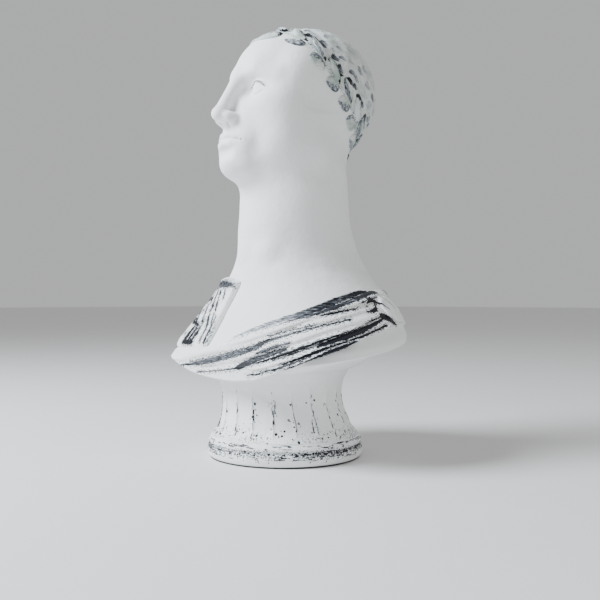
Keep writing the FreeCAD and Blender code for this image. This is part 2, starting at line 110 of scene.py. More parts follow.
# ---- curves ----
def smooth_curve(xs, ys):
    """A monotone cubic through the points, as a function of an array."""
    xs, ys = np.asarray(xs, float), np.asarray(ys, float)
    step = np.diff(xs)
    slope = np.diff(ys) / step
    tangent = np.zeros_like(ys)
    same = slope[:-1] * slope[1:] > 0
    total = np.where(same, slope[:-1] + slope[1:], 1.0)
    tangent[1:-1] = np.where(same, 2 * slope[:-1] * slope[1:] / total, 0.0)
    tangent[0] = slope[0]

    def value(x):
        x = np.clip(x, xs[0], xs[-1])
        i = np.clip(np.searchsorted(xs, x, side="right") - 1, 0, len(xs) - 2)
        t = (x - xs[i]) / step[i]
        a, b = ys[i], ys[i + 1]
        ma, mb = tangent[i] * step[i], tangent[i + 1] * step[i]
        return a + t * (ma + t * (3 * (b - a) - 2 * ma - mb + t * (2 * (a - b) + ma + mb)))

    return value


def smoothstep(x, low=0.0, high=1.0):
    t = np.clip((x - low) / (high - low), 0.0, 1.0)
    return t * t * (3 - 2 * t)


def column(table, k):
    return smooth_curve([row[0] for row in table], [row[k] for row in table])


RING_COLUMNS = [column(BODY_RINGS, k) for k in range(1, 6)]
LOWEST_RING, HIGHEST_RING = 88.5, 190.0     # the drapery lies between these ring heights


def ring_point(turn, height, proud=0.0):
    """Points on the body at a turn in radians from the front towards +X and a ring height."""
    centre_y, width, depth, square, rise = (f(height) for f in RING_COLUMNS)
    s = np.abs(np.sin(turn)) / (width + proud)
    c = np.abs(np.cos(turn)) / (depth + proud)
    r = (s ** square + c ** square) ** (-1.0 / square)
    y = -r * np.cos(turn)
    return np.stack(np.broadcast_arrays(r * np.sin(turn), centre_y + y, height + rise * y), -1)


def ring_height(turn, z):
    """The ring height whose ring passes through height z at this turn, above the rim."""
    low, high = np.full(np.shape(z), LOWEST_RING), np.full(np.shape(z), HIGHEST_RING)
    for _ in range(26):
        mid = (low + high) / 2
        above = ring_point(turn, mid)[..., 2] > z
        high = np.where(above, mid, high)
        low = np.where(above, low, mid)
    return low


def lattice_noise(points, cell, seed):
    """Smooth noise from -1 to 1 on a lattice of the given cell size."""
    q = points / cell
    base = np.floor(q).astype(np.int64)
    t = q - base
    t = t * t * (3 - 2 * t)
    total = np.zeros(len(points))
    for corner in range(8):
        offset = np.array([corner & 1, corner >> 1 & 1, corner >> 2 & 1])
        key = (base + offset) @ np.array([73856093, 19349663, 83492791]) + seed * 2654435761
        key = (key ^ (key >> 13)) * 1274126177 & 0x7FFFFFFF
        value = (key % 20011) / 10005.5 - 1.0
        total += value * np.prod(np.where(offset, t, 1 - t), axis=1)
    return total


# ---- painted strokes ----
# A stroke is a list of stations: turn in degrees, height and half width in mm, load of pigment from 0 to 1.
WRAP = 1.66                     # mm of arc per degree of turn on the body


def resample(stations):
    """A smooth track through the stations, a point every 2 mm or so."""
    t = np.arange(len(stations))
    length = sum(math.hypot(q[0] - p[0], q[1] - p[1]) for p, q in zip(stations, stations[1:]))
    fine = np.linspace(0, len(stations) - 1, max(len(stations), int(length / 2) + 2))
    return np.stack([smooth_curve(t, [s[k] for s in stations])(fine) for k in range(4)], -1)


def paint(u, v, strokes):
    """Depth inside the nearest stroke in mm (negative outside) and that stroke's load, over a flat plane."""
    depth, load = np.full(u.shape, -9.0), np.zeros(u.shape)
    for stations in strokes:
        track = resample(stations)
        low, high = track.min(0) - 8.0, track.max(0) + 8.0
        near = (u > low[0]) & (u < high[0]) & (v > low[1]) & (v < high[1])
        un, vn, best, chosen = u[near], v[near], depth[near], load[near]
        for a, b in zip(track, track[1:]):
            du, dv = b[0] - a[0], b[1] - a[1]
            t = np.clip(((un - a[0]) * du + (vn - a[1]) * dv) / max(du * du + dv * dv, 1e-9), 0, 1)
            inside = a[2] + (b[2] - a[2]) * t - np.hypot(un - a[0] - du * t, vn - a[1] - dv * t)
            better = inside > best
            best = np.where(better, inside, best)
            chosen = np.where(better, a[3] + (b[3] - a[3]) * t, chosen)
        depth[near], load[near] = best, chosen
    return depth, load


def wrapped(strokes):
    """Strokes given by turn in degrees, laid out flat in mm."""
    return [[(s[0] * WRAP, s[1], s[2], s[3]) for s in stations] for stations in strokes]


SASH_STROKES = [
    # the broad stroke along the sash's upper edge, dark at the shoulder and fading over the chest
    [(101, 150.6, 1, 0.85), (94, 150.2, 1.7, 0.8), (84, 147.2, 2.2, 0.6), (74, 143.6, 2.5, 0.55),
     (64, 138.8, 2.7, 0.6), (54, 133.8, 2.6, 0.52), (46, 130.2, 2.2, 0.45), (36, 126, 2, 0.38),
     (22, 120, 1.8, 0.34), (10, 114.4, 1.4, 0.28), (0, 110.2, 0.7, 0.2)],
    [(78, 136.6, 0.3, 0.8), (70, 134.8, 0.6, 0.85), (62, 132.6, 0.9, 0.8), (56, 130.8, 0.5, 0.7)],
    [(96, 146.6, 0.4, 0.8), (88, 144, 0.5, 0.7), (80, 141.4, 0.3, 0.6)],
    # the blue-grey band over the front with its darker upper line, and the thin line it becomes
    [(-50, 80.4, 0.5, 0.95), (-40, 83.2, 0.9, 0.95), (-31, 85.8, 0.8, 0.9)],
    [(-34, 84.6, 0.8, 0.65), (-22, 87.6, 1.7, 0.5), (-6, 92.2, 2.5, 0.44), (10, 97.8, 2.7, 0.44),
     (21, 102.6, 2.4, 0.46), (27, 105.4, 1.4, 0.45)],
    [(-32, 87.4, 0.35, 0.7), (-14, 92.6, 0.4, 0.6), (6, 99.4, 0.4, 0.6), (24, 106.2, 0.45, 0.8)],
    [(22, 104.6, 0.9, 0.9), (27, 107.6, 1.9, 0.75), (32, 110.4, 1.3, 0.55), (40, 114.6, 0.9, 0.45),
     (50, 119.6, 0.6, 0.6), (60, 123.6, 0.6, 0.8), (71, 127.4, 0.5, 0.85)],
    [(30, 113.6, 0.5, 0.4), (42, 118.8, 0.5, 0.45), (54, 123.4, 0.4, 0.5)],
    # the second band, from the hem up across the middle
    [(-22, 79.2, 0.4, 0.8), (-8, 81.4, 0.4, 0.7), (6, 84, 0.6, 0.85), (14, 86.4, 1.2, 0.9)],
    [(12, 85.6, 1.2, 0.85), (18, 89.4, 2.5, 0.65), (25, 93.6, 2.6, 0.52), (33, 98.6, 2.1, 0.5),
     (41, 103.6, 1.4, 0.55)],
    [(22, 89.4, 0.5, 0.6), (32, 94.2, 0.9, 0.7), (41, 99.8, 1.3, 0.8), (49, 105.2, 1.4, 0.75),
     (57, 110.8, 1, 0.75), (66, 116.2, 0.7, 0.8), (77, 121.2, 0.5, 0.85)],
    [(26, 99.6, 1.2, 0.42), (34, 104.2, 1.5, 0.45), (42, 108.6, 1, 0.4)],
    [(36, 94, 0.4, 0.6), (46, 100.6, 0.7, 0.7), (56, 107.6, 0.6, 0.6), (66, 113.2, 0.3, 0.6)],
    # the heaviest stroke, towards the shoulder
    [(55, 105.6, 0.7, 0.7), (61, 110, 1.7, 0.95), (68, 114.2, 2.2, 1), (76, 118.8, 1.9, 0.9),
     (84, 123.4, 1.1, 0.9), (93, 128.4, 0.8, 0.95)],
    [(78, 123.8, 0.4, 0.8), (86, 127.8, 0.6, 0.95), (93, 130.4, 0.8, 1)],
    # ragged strokes near the lower edge
    [(28, 82, 0.5, 0.6), (37, 86.6, 0.8, 0.85), (46, 92.8, 0.8, 0.95), (53, 98.6, 0.5, 0.8)],
    [(40, 90.6, 0.4, 0.6), (50, 97.6, 1.2, 0.9), (56, 102.6, 1.5, 0.9), (62, 106.6, 0.9, 0.9),
     (72, 112, 0.7, 0.95), (82, 117.4, 0.9, 0.95), (91, 122, 0.8, 0.95)],
    [(44, 88.4, 0.4, 0.6), (52, 94.6, 0.8, 0.8), (60, 101.2, 1.9, 0.9), (67, 106, 2.1, 0.85),
     (72, 109.6, 0.8, 0.9)],
    [(22, 80.4, 0.4, 0.6), (30, 82.6, 0.5, 0.5)],
    # blots at the shoulder
    [(90, 130.2, 1.8, 1), (94, 128, 3.2, 1), (97, 124.6, 2.4, 1), (99, 121.8, 0.7, 1)],
    [(85, 141.2, 1, 0.95), (88, 143.8, 2.3, 1), (91, 142.6, 1.6, 1), (95, 139.6, 0.8, 1),
     (99, 135.6, 0.4, 0.9)],
    [(82, 133.4, 0.6, 0.9), (87, 134.4, 1.6, 1), (90, 137.2, 1.2, 1), (91, 140.6, 0.8, 1)],
    [(78.6, 142.4, 0.6, 0.9), (79, 142.4, 0.6, 0.9)],
    [(83.6, 138.2, 0.7, 0.95), (84, 138.2, 0.7, 0.95)],
    [(99, 146.8, 0.6, 0.8), (103, 142.4, 0.4, 0.7), (107, 135.6, 0.3, 0.6)],
]
# A groove between folds is its half width in mm and its stations: turn in degrees, height and depth in mm.
SASH_GROOVES = [
    (2.6, [(-52, 84, 0.5), (-26, 89.7, 1.5), (4, 99.2, 1.7), (27, 108.2, 1.7), (46, 118.5, 1.5),
          (60, 124.4, 1.4), (80, 132, 1.2), (96, 136.5, 0.4)]),
    (2.2, [(-16, 83.6, 0.6), (10, 88.8, 1.3), (25, 94.8, 1.7), (42, 104.2, 1.6), (60, 116.3, 1.3),
          (78, 124.6, 1.2), (94, 131, 1.2), (110, 135, 0.5)]),
    (2, [(18, 87, 0.5), (34, 93.7, 1.3), (50, 104, 1.4), (66, 115.2, 1.2), (82, 122.6, 1.2),
          (98, 127.6, 0.8)]),
    (1.7, [(40, 95, 0.4), (53, 104.5, 1.2), (67, 114, 1.6), (84, 124.2, 1.5), (94, 128.6, 1.4)]),
    (1.6, [(26, 83, 0.4), (46, 94.4, 1.2), (61, 106, 1.2), (78, 116.4, 1.3), (92, 122.6, 1)]),
    (2, [(36, 116.4, 0.3), (55, 129.4, 1.3), (70, 134.4, 1.4), (86, 139, 1.2), (100, 141, 0.4)]),
    (1.8, [(-6, 101.8, 0.3), (14, 106.6, 0.8), (40, 119.4, 0.9), (64, 131, 0.5)]),
]
RIGHT_STROKES = [
    # short dashes down the folds that show beside the neck
    [(-56, 152, 0.7, 0.8), (-53, 142, 1.6, 0.85), (-49, 130, 0.8, 0.7)],
    [(-43, 158, 0.8, 0.7), (-40, 150, 1.9, 0.85), (-37, 141, 0.9, 0.8)],
    [(-35, 155, 0.7, 0.8), (-32, 146, 1.8, 0.9), (-29, 136, 0.8, 0.8)],
    [(-49, 154, 0.8, 0.7), (-45, 145, 1.8, 0.8), (-42, 134, 0.8, 0.6)],
    [(-28, 153, 0.6, 0.6), (-25, 144, 1.1, 0.7), (-23, 135, 0.5, 0.6)],
    [(-21, 154, 0.4, 0.5), (-19, 146, 0.7, 0.6)],
    [(-39, 139, 0.8, 0.8), (-36, 131, 1.5, 0.8), (-33, 123, 0.6, 0.7)],
    [(-47, 134, 0.7, 0.8), (-44, 124, 1.4, 0.85), (-41, 118, 0.6, 0.8)],
    [(-30, 135, 0.6, 0.6), (-27, 126, 1.1, 0.7), (-25, 117, 0.5, 0.6)],
    [(-53, 129, 0.7, 0.8), (-51, 119, 1.2, 0.8), (-50, 111, 0.5, 0.7)],
    [(-58, 140, 0.6, 0.7), (-57, 126, 1.1, 0.75), (-57, 114, 0.5, 0.6)],
    [(-23, 132, 0.4, 0.6), (-22, 124, 0.7, 0.7)],
    [(-19.5, 128, 0.5, 0.8), (-20.8, 116, 1.1, 0.9), (-22.4, 105.5, 0.7, 0.85)],
    [(-25, 122, 0.4, 0.7), (-26.6, 107, 0.5, 0.7)],
    # the dark blot low on the strip, with a tail towards the bust's own right
    [(-32, 121, 1.8, 0.95), (-34, 114, 3.2, 1), (-36, 106.5, 3, 1)],
    [(-42, 118, 2, 0.95), (-44, 111, 3, 1), (-45, 106, 2.6, 1)],
    [(-35, 105.5, 2.2, 1), (-46, 104.5, 2, 1)],
    [(-36, 120.5, 1.2, 0.95), (-46, 123, 1.3, 0.9), (-56, 128, 0.5, 0.8)],
    [(-37, 118, 1.4, 0.5), (-39, 112, 1.8, 0.55), (-40, 107, 1.2, 0.6)],
    # a thin grey wash under the upper edge
    [(-12, 157, 1, 0.3), (-20, 158, 2.4, 0.36), (-30, 158.5, 3, 0.4), (-42, 157.5, 2.6, 0.4)],
    [(-46, 157, 2, 0.7), (-52, 154, 2.4, 0.6), (-58, 150, 1.5, 0.5)],
    # the folds behind
    [(-66, 154, 0.6, 0.7), (-69, 144, 1, 0.7), (-72, 131, 0.7, 0.6), (-74, 121, 0.4, 0.6)],
    [(-72, 150, 0.9, 0.7), (-79, 136, 1.5, 0.8), (-81, 122, 0.8, 0.8), (-85, 108, 0.7, 0.6)],
    [(-77, 128, 0.4, 0.6), (-80, 117, 1, 0.8), (-81, 106, 0.6, 0.7)],
    [(-86, 158, 1.2, 0.5), (-90, 148, 2, 0.45), (-92, 138, 1.4, 0.35)],
    [(-92, 156, 0.9, 0.7), (-97, 141, 1.9, 0.85), (-101, 124, 1.1, 0.7), (-104, 102, 0.9, 0.6)],
    [(-99, 130, 0.5, 0.6), (-103, 118, 1.3, 0.85), (-104, 108, 0.9, 0.8)],
    [(-110, 154, 0.7, 0.6), (-114, 140, 1.5, 0.7), (-119, 128, 0.8, 0.8), (-120, 110, 1, 0.7)],
    [(-124, 146, 0.5, 0.6), (-126, 132, 1, 0.7), (-128, 120, 0.5, 0.5)],
]
RIGHT_GROOVES = [
    (2, [(-24, 160, 0.5), (-28, 140, 1.3), (-34, 118, 1.3), (-40, 103, 0.6)]),
    (2.2, [(-38, 162, 0.5), (-44, 140, 1.4), (-52, 118, 1.4), (-60, 100, 0.6)]),
    (2.4, [(-54, 164, 0.5), (-62, 140, 1.5), (-70, 116, 1.5), (-76, 96, 0.5)]),
    (2.4, [(-74, 164, 0.5), (-82, 138, 1.5), (-88, 116, 1.5), (-92, 97, 0.5)]),
    (2.6, [(-94, 162, 0.5), (-100, 138, 1.5), (-106, 118, 1.4), (-110, 99, 0.5)]),
    (2.4, [(-114, 160, 0.5), (-119, 136, 1.3), (-124, 116, 1.2), (-127, 101, 0.5)]),
]
BACK_STROKES = [
    [(118, 150.5, 1.6, 0.8), (134, 151, 2.4, 0.75), (152, 152, 2.2, 0.6), (172, 153.5, 1.4, 0.4)],
    [(122, 136, 0.9, 0.9), (140, 134, 1.5, 0.85), (160, 131, 1.2, 0.7), (178, 128, 0.8, 0.6)],
    [(126, 126.5, 1.1, 0.9), (144, 123.8, 1.6, 0.9), (166, 118, 1.3, 0.8), (190, 112, 1, 0.7),
     (212, 105, 0.8, 0.6)],
    [(150, 143.5, 0.7, 0.7), (172, 142, 1.1, 0.75), (194, 139, 1.2, 0.7), (216, 134, 0.8, 0.6)],
    [(168, 127, 0.7, 0.7), (188, 122, 1.2, 0.8), (210, 116, 1.1, 0.75), (228, 110, 0.8, 0.6)],
    [(120, 146.5, 0.5, 0.7), (136, 146, 1.4, 0.6), (156, 146.8, 1, 0.5), (170, 148, 0.4, 0.4)],
    [(132, 139.5, 0.4, 0.6), (148, 138.6, 1.8, 0.45), (168, 137.2, 2.4, 0.4), (190, 134, 1.2, 0.35)],
    [(126, 131.4, 0.6, 0.8), (142, 129, 1.1, 0.9), (158, 126.5, 0.5, 0.8)],
    [(176, 149, 0.6, 0.6), (196, 146, 1.7, 0.5), (214, 143.6, 1, 0.4)],
    [(180, 117.5, 0.5, 0.7), (198, 112, 1.2, 0.85), (216, 107.5, 0.6, 0.7)],
]
BACK_GROOVES = [
    (2.2, [(131, 136, 0.6), (146, 133.6, 1.3), (166, 130.4, 1.3), (190, 126, 1.1), (214, 120, 0.8),
          (229, 117, 0.5)]),
    (2, [(131, 126.6, 0.6), (146, 123.6, 1.2), (166, 118.4, 1.2), (190, 112.4, 1.2), (214, 105.4, 1),
          (229, 101, 0.5)]),
    (2, [(131, 145, 0.4), (150, 143.8, 1.1), (172, 142.2, 1.3), (194, 139.2, 1.3), (216, 134.2, 1.1),
          (229, 131, 0.6)]),
    (2, [(176, 150, 0.3), (196, 148.6, 1.1), (216, 146, 1.1), (229, 144, 0.6)]),
]


# ---- meshes ----
def make_piece(name, points, faces, attributes, material, nodes, smooth=True):
    """A mesh piece from points in mm, riding the body and standing for the CAD nodes."""
    mesh = bpy.data.meshes.new(name)
    mesh.from_pydata((points * MM).tolist(), [], faces)
    for key, values in attributes.items():
        layer = mesh.attributes.new(key, "FLOAT", "POINT")
        layer.data.foreach_set("value", np.asarray(values, np.float32).ravel())
    mesh.polygons.foreach_set("use_smooth", [smooth] * len(mesh.polygons))
    mesh.materials.append(material)
    mesh.update()
    piece = bpy.data.objects.new(name, mesh)
    bpy.context.scene.collection.objects.link(piece)
    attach(piece, BODY)
    if nodes:
        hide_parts(*nodes)
    return piece


def grid_faces(rows, columns, close_rows=False, close_columns=False, start=0):
    """Quads over a rows by columns grid of points, listed row by row."""
    r = np.arange(rows if close_rows else rows - 1)
    c = np.arange(columns if close_columns else columns - 1)
    rr, cc = np.meshgrid(r, c, indexing="ij")
    r1, c1 = (rr + 1) % rows, (cc + 1) % columns
    quads = np.stack([rr * columns + cc, rr * columns + c1, r1 * columns + c1, r1 * columns + cc], -1)
    return (quads.reshape(-1, 4) + start).tolist()


def cap_faces(rows, columns, start=0):
    """Quads that close both ends of a slab whose loop of rows goes up the outside and down the inside."""
    faces = []
    for edge in (0, columns - 1):
        for r in range(rows - 1):
            near = [start + k * columns + edge for k in (r, r + 1, 2 * rows - 2 - r, 2 * rows - 1 - r)]
            faces.append(near[::-1] if edge else near)
    return faces


# ---- head: blended soft forms in head coordinates ----
# Head coordinates: origin at mid head, -y towards the face, z up. The face keeps the classical canon.
UNIT = HEAD_HEIGHT / 100
EYE_X = 0.125 * HEAD_HEIGHT
BROW_Z = 8.0 * UNIT
NOSE_Z = -21.0 * UNIT
MOUTH_Z = -30.5 * UNIT
FACE_Y = -HEAD_DEPTH / 2


def head_axes():
    turn, lift = math.radians(-HEAD_TURN), math.radians(-HEAD_LIFT)
    ct, st, cl, sl = math.cos(turn), math.sin(turn), math.cos(lift), math.sin(lift)
    return np.array([[ct, -st * cl, st * sl], [st, ct * cl, -ct * sl], [0, sl, cl]])


HEAD_AXES = head_axes()


def blend(a, b, k):
    """Smooth union of two distances."""
    h = np.maximum(k - np.abs(a - b), 0.0) / k
    return np.minimum(a, b) - h * h * k / 4


def carve(a, b, k):
    return -blend(-a, b, k)


def ellipsoid(p, centre, radii):
    q = (p - np.array(centre)) / np.array(radii)
    k0 = np.sqrt((q * q).sum(-1))
    k1 = np.sqrt(((q / np.array(radii)) ** 2).sum(-1))
    return k0 * (k0 - 1) / np.maximum(k1, 1e-9)


def rod(p, a, b, ra, rb):
    a, b = np.array(a, float), np.array(b, float)
    t = np.clip(((p - a) @ (b - a)) / ((b - a) @ (b - a)), 0, 1)
    return np.linalg.norm(p - a - t[:, None] * (b - a), axis=-1) - (ra + (rb - ra) * t)


def chain(p, points, radii):
    """Distance to a round rod through the points, with a radius at each."""
    d = np.full(len(p), 1e3)
    for a, b, ra, rb in zip(points, points[1:], radii, radii[1:]):
        d = np.minimum(d, rod(p, a, b, ra, rb))
    return d


EYE_CENTRE = (EYE_X, FACE_Y + 25.5, -0.5)
EYE_RADIUS = 12.5
LIP_Y = FACE_Y + 3.5


def lid_points(rise):
    """A lid's edge over the eyeball, from the inner to the outer corner."""
    points = []
    for t in np.linspace(-1, 1, 9):
        x = 11.6 * t
        z = rise * (1 - t * t) ** 0.8 - 0.6 + 0.5 * t
        y = -math.sqrt(EYE_RADIUS ** 2 - 0.72 * x * x - z * z)
        points.append((EYE_CENTRE[0] + x, EYE_CENTRE[1] + y + 0.3, EYE_CENTRE[2] + z))
    return points


UPPER_LID = lid_points(6.2)
LOWER_LID = lid_points(-4.4)
UPPER_LIP = [(0, LIP_Y, MOUTH_Z + 3.3), (5, LIP_Y + 0.2, MOUTH_Z + 4.0), (12, LIP_Y + 3.2, MOUTH_Z + 2.6),
             (20, LIP_Y + 8.6, MOUTH_Z + 0.8)]
LOWER_LIP = [(0, LIP_Y + 1.0, MOUTH_Z - 4.2), (9, LIP_Y + 2.8, MOUTH_Z - 3.6),
             (18, LIP_Y + 8.4, MOUTH_Z - 1.2)]
MOUTH_LINE = [(0, LIP_Y - 2.4, MOUTH_Z), (6, LIP_Y - 2.0, MOUTH_Z + 0.6), (13, LIP_Y + 1.6, MOUTH_Z - 0.1),
              (20.0, LIP_Y + 7.0, MOUTH_Z - 0.3)]
BROW = [(3, FACE_Y + 10.5, BROW_Z - 1.5), (18, FACE_Y + 13.5, BROW_Z + 3.5), (33, FACE_Y + 25, BROW_Z - 1.0)]


def head_distance(p):
    """Distance to the head's skin, over head coordinates in mm."""
    q = p.copy()
    q[:, 0] = np.abs(q[:, 0])
    d = ellipsoid(q, (0, 10, 22), (HEAD_WIDTH / 2 - 1, HEAD_DEPTH / 2 - 9, HEAD_HEIGHT / 2 - 22))
    d = blend(d, ellipsoid(q, (0, -28, 24), (43, 40, 38)), 16)
    d = blend(d, ellipsoid(q, (0, -26, -22), (41, 42, 56)), 14)
    d = blend(d, ellipsoid(q, (0, -2, -20), (49, 46, 50)), 18)
    d = blend(d, ellipsoid(q, (30, -8, -42), (16, 26, 20)), 16)
    d = blend(d, rod(q, (35, -2, -42), (13, -49, -65), 13, 11), 12)
    d = blend(d, ellipsoid(q, (0, -55, -67), (13, 14, 13)), 13)
    d = blend(d, ellipsoid(q, (28, -43, -14), (14, 14, 12)), 13)
    d = blend(d, ellipsoid(q, (35, -30, 2), (14, 18, 26)), 14)
    d = blend(d, ellipsoid(q, (32, -29, -34), (13, 16, 22)), 19)
    d = blend(d, ellipsoid(q, (38, -24, 24), (13, 18, 20)), 14)
    near = (q[:, 1] < 0) & (q[:, 2] > -95) & (q[:, 2] < 70)
    d[near] = face_detail(q[near], d[near])
    return d


def face_detail(q, d):
    d = blend(d, chain(q, BROW, (6.0, 6.0, 4.0)), 12)
    d = carve(d, ellipsoid(q, (EYE_X, FACE_Y + 3, -1.0), (15.0, 14.5, 9.8)), 6)
    d = blend(d, rod(q, (0, FACE_Y + 5, BROW_Z - 3), (0, FACE_Y - 6.5, NOSE_Z + 7), 5.2, 6.4), 8)
    d = blend(d, ellipsoid(q, (0, FACE_Y - 6.5, NOSE_Z + 5.5), (6.6, 7.0, 5.6)), 4)
    d = blend(d, ellipsoid(q, (8.2, FACE_Y + 2.0, NOSE_Z + 3.8), (5.0, 8.4, 5.4)), 4)
    d = carve(d, ellipsoid(q, (4.9, FACE_Y - 2.0, NOSE_Z - 1.2), (2.2, 4.2, 2.6)), 1.6)
    d = blend(d, ellipsoid(q, (0, FACE_Y + 17, MOUTH_Z + 1), (24, 13, 17)), 10)
    d = carve(d, rod(q, (0, LIP_Y - 2.6, NOSE_Z - 3), (0, LIP_Y - 3.4, MOUTH_Z + 8), 1.3, 1.8), 3)
    d = blend(d, chain(q, UPPER_LIP, (3.2, 3.3, 2.6, 1.0)), 3.5)
    d = blend(d, chain(q, LOWER_LIP, (4.2, 3.8, 1.3)), 3.5)
    d = carve(d, chain(q, MOUTH_LINE, (0.75, 0.75, 0.75, 0.9)), 1.3)
    d = carve(d, rod(q, (-8, FACE_Y + 3.0, MOUTH_Z - 12.5), (8, FACE_Y + 3.0, MOUTH_Z - 12.5), 3.0, 3.0), 7)
    d = blend(d, np.linalg.norm(q - np.array(EYE_CENTRE), axis=-1) - EYE_RADIUS, 1.0)
    d = blend(d, chain(q, UPPER_LID, (1.0, 1.5, 1.9, 2.1, 2.15, 2.1, 1.9, 1.5, 1.0)), 1.5)
    return blend(d, chain(q, LOWER_LID, (0.9, 1.2, 1.4, 1.5, 1.5, 1.5, 1.4, 1.2, 0.9)), 1.5)


def to_head(points):
    return (points - HEAD_CENTRE) @ HEAD_AXES


def to_row(vectors):
    return vectors @ HEAD_AXES.T


def neck_distance(p):
    """Distance to the neck and chest, from the body rings."""
    height = p[:, 2].copy()
    for _ in range(3):
        centre_y, rise = RING_COLUMNS[0](height), RING_COLUMNS[4](height)
        height = p[:, 2] - rise * (p[:, 1] - centre_y)
    centre_y, width, depth, square, _ = (f(height) for f in RING_COLUMNS)
    s, c = np.abs(p[:, 0]) / width, np.abs(p[:, 1] - centre_y) / depth
    flat = (s ** square + c ** square) ** (1 / square)
    return np.maximum((flat - 1) * np.minimum(width, depth), p[:, 2] - BODY_RINGS[-1][0])


def neck_muscles(p):
    """The pair of muscles from behind the jaw to the pit of the neck, faint under the skin."""
    d = np.full(len(p), 1e3)
    for side in (-1, 1):
        top = np.array([side * 38.0 - 4.0, 26.0, 262.0])
        d = np.minimum(d, rod(p, top, (side * 13.0, -32.0, 186.0), 8.0, 5.5))
    return d


def joint_distance(p):
    """Below the sloping joint with the shoulder casting is positive."""
    (y0, z0), (y1, z1) = SPLIT_FRONT, SPLIT_BACK
    slope = (z1 - z0) / (y1 - y0)
    return (z0 + slope * (p[:, 1] - y0) - p[:, 2]) / math.hypot(1, slope)


def wreath_fall(turn):
    """How far down from the crown the wreath runs: above the forehead in front, at the nape behind."""
    return np.radians(38.0 + 75.0 * (0.5 - 0.5 * np.cos(turn)) ** 1.25)


def head_polar(q):
    """Turn from the face and fall from the crown, in radians, of points in head coordinates."""
    return np.arctan2(q[:, 0], -q[:, 1]), np.arccos(np.clip(q[:, 2] / np.linalg.norm(q, axis=-1), -1, 1))


def hair_relief(q):
    """Soft cropped hair above the wreath's line: a low step and flat curved locks."""
    turn, fall = head_polar(q)
    inside = smoothstep(wreath_fall(turn) - fall, -0.02, 0.10)
    locks = np.sin(turn * 16 + 3.2 * np.sin(fall * 7.0)) * smoothstep(fall, 0.15, 0.6)
    rows = np.sin(fall * 34 + 1.5 * np.sin(turn * 8))
    return inside * (0.8 + 0.45 * locks + 0.25 * rows)


def head_field(p):
    q = to_head(p)
    d = blend(head_distance(q), neck_distance(p), 16)
    d = blend(d, neck_muscles(p), 14)
    high = p[:, 2] > 250
    d[high] -= hair_relief(q[high])
    return np.maximum(d, joint_distance(p))


def mesh_field(field, low, high, voxel):
    """Quads over a field's zero surface. Only blocks of samples near the surface are worked out."""
    block = 4
    low = np.array(low, float)
    blocks = np.ceil((np.array(high) - low) / (voxel * block)).astype(int)
    index = np.stack(np.meshgrid(*[np.arange(n) for n in blocks], indexing="ij"), -1).reshape(-1, 3)
    centres = low + (index * block + (block - 1) / 2) * voxel
    coarse = field(centres)
    samples = np.repeat(np.repeat(np.repeat(coarse.reshape(blocks), block, 0), block, 1), block, 2)
    samples = samples.astype(np.float32)
    near = index[np.abs(coarse) < voxel * block * 1.8]
    offsets = np.stack(np.meshgrid(*[np.arange(block)] * 3, indexing="ij"), -1).reshape(-1, 3)
    cells = (near[:, None, :] * block + offsets[None]).reshape(-1, 3)
    samples[cells[:, 0], cells[:, 1], cells[:, 2]] = field(low + cells * voxel)
    grid = openvdb.FloatGrid()
    grid.copyFromArray(samples)
    points, quads = grid.convertToQuads(isovalue=0.0)
    return low + points.astype(float) * voxel, quads.astype(int)


def roughen(points, quads, amount, cell, seed):
    """Small handmade unevenness along the surface's normals."""
    a, b, c, d = (points[quads[:, k]] for k in range(4))
    facing = np.cross(c - a, d - b)
    normals = np.zeros_like(points)
    for k in range(4):
        np.add.at(normals, quads[:, k], facing)
    normals /= np.maximum(np.linalg.norm(normals, axis=1, keepdims=True), 1e-9)
    return points + normals * (amount * lattice_noise(points, cell, seed))[:, None]


def on_head(turn, fall, lift):
    """Points proud of the head along rays from its centre."""
    local = np.stack([np.sin(turn) * np.sin(fall), -np.cos(turn) * np.sin(fall), np.cos(fall)], -1)
    rays = to_row(local.reshape(-1, 3))
    low, high = np.full(len(rays), 20.0), np.full(len(rays), 110.0)
    for _ in range(16):
        mid = (low + high) / 2
        outside = head_field(HEAD_CENTRE + rays * mid[:, None]) > 0
        high = np.where(outside, mid, high)
        low = np.where(outside, low, mid)
    reach = low + np.broadcast_to(lift, np.shape(fall)).reshape(-1)
    return (HEAD_CENTRE + rays * reach[:, None]).reshape(np.shape(fall) + (3,))


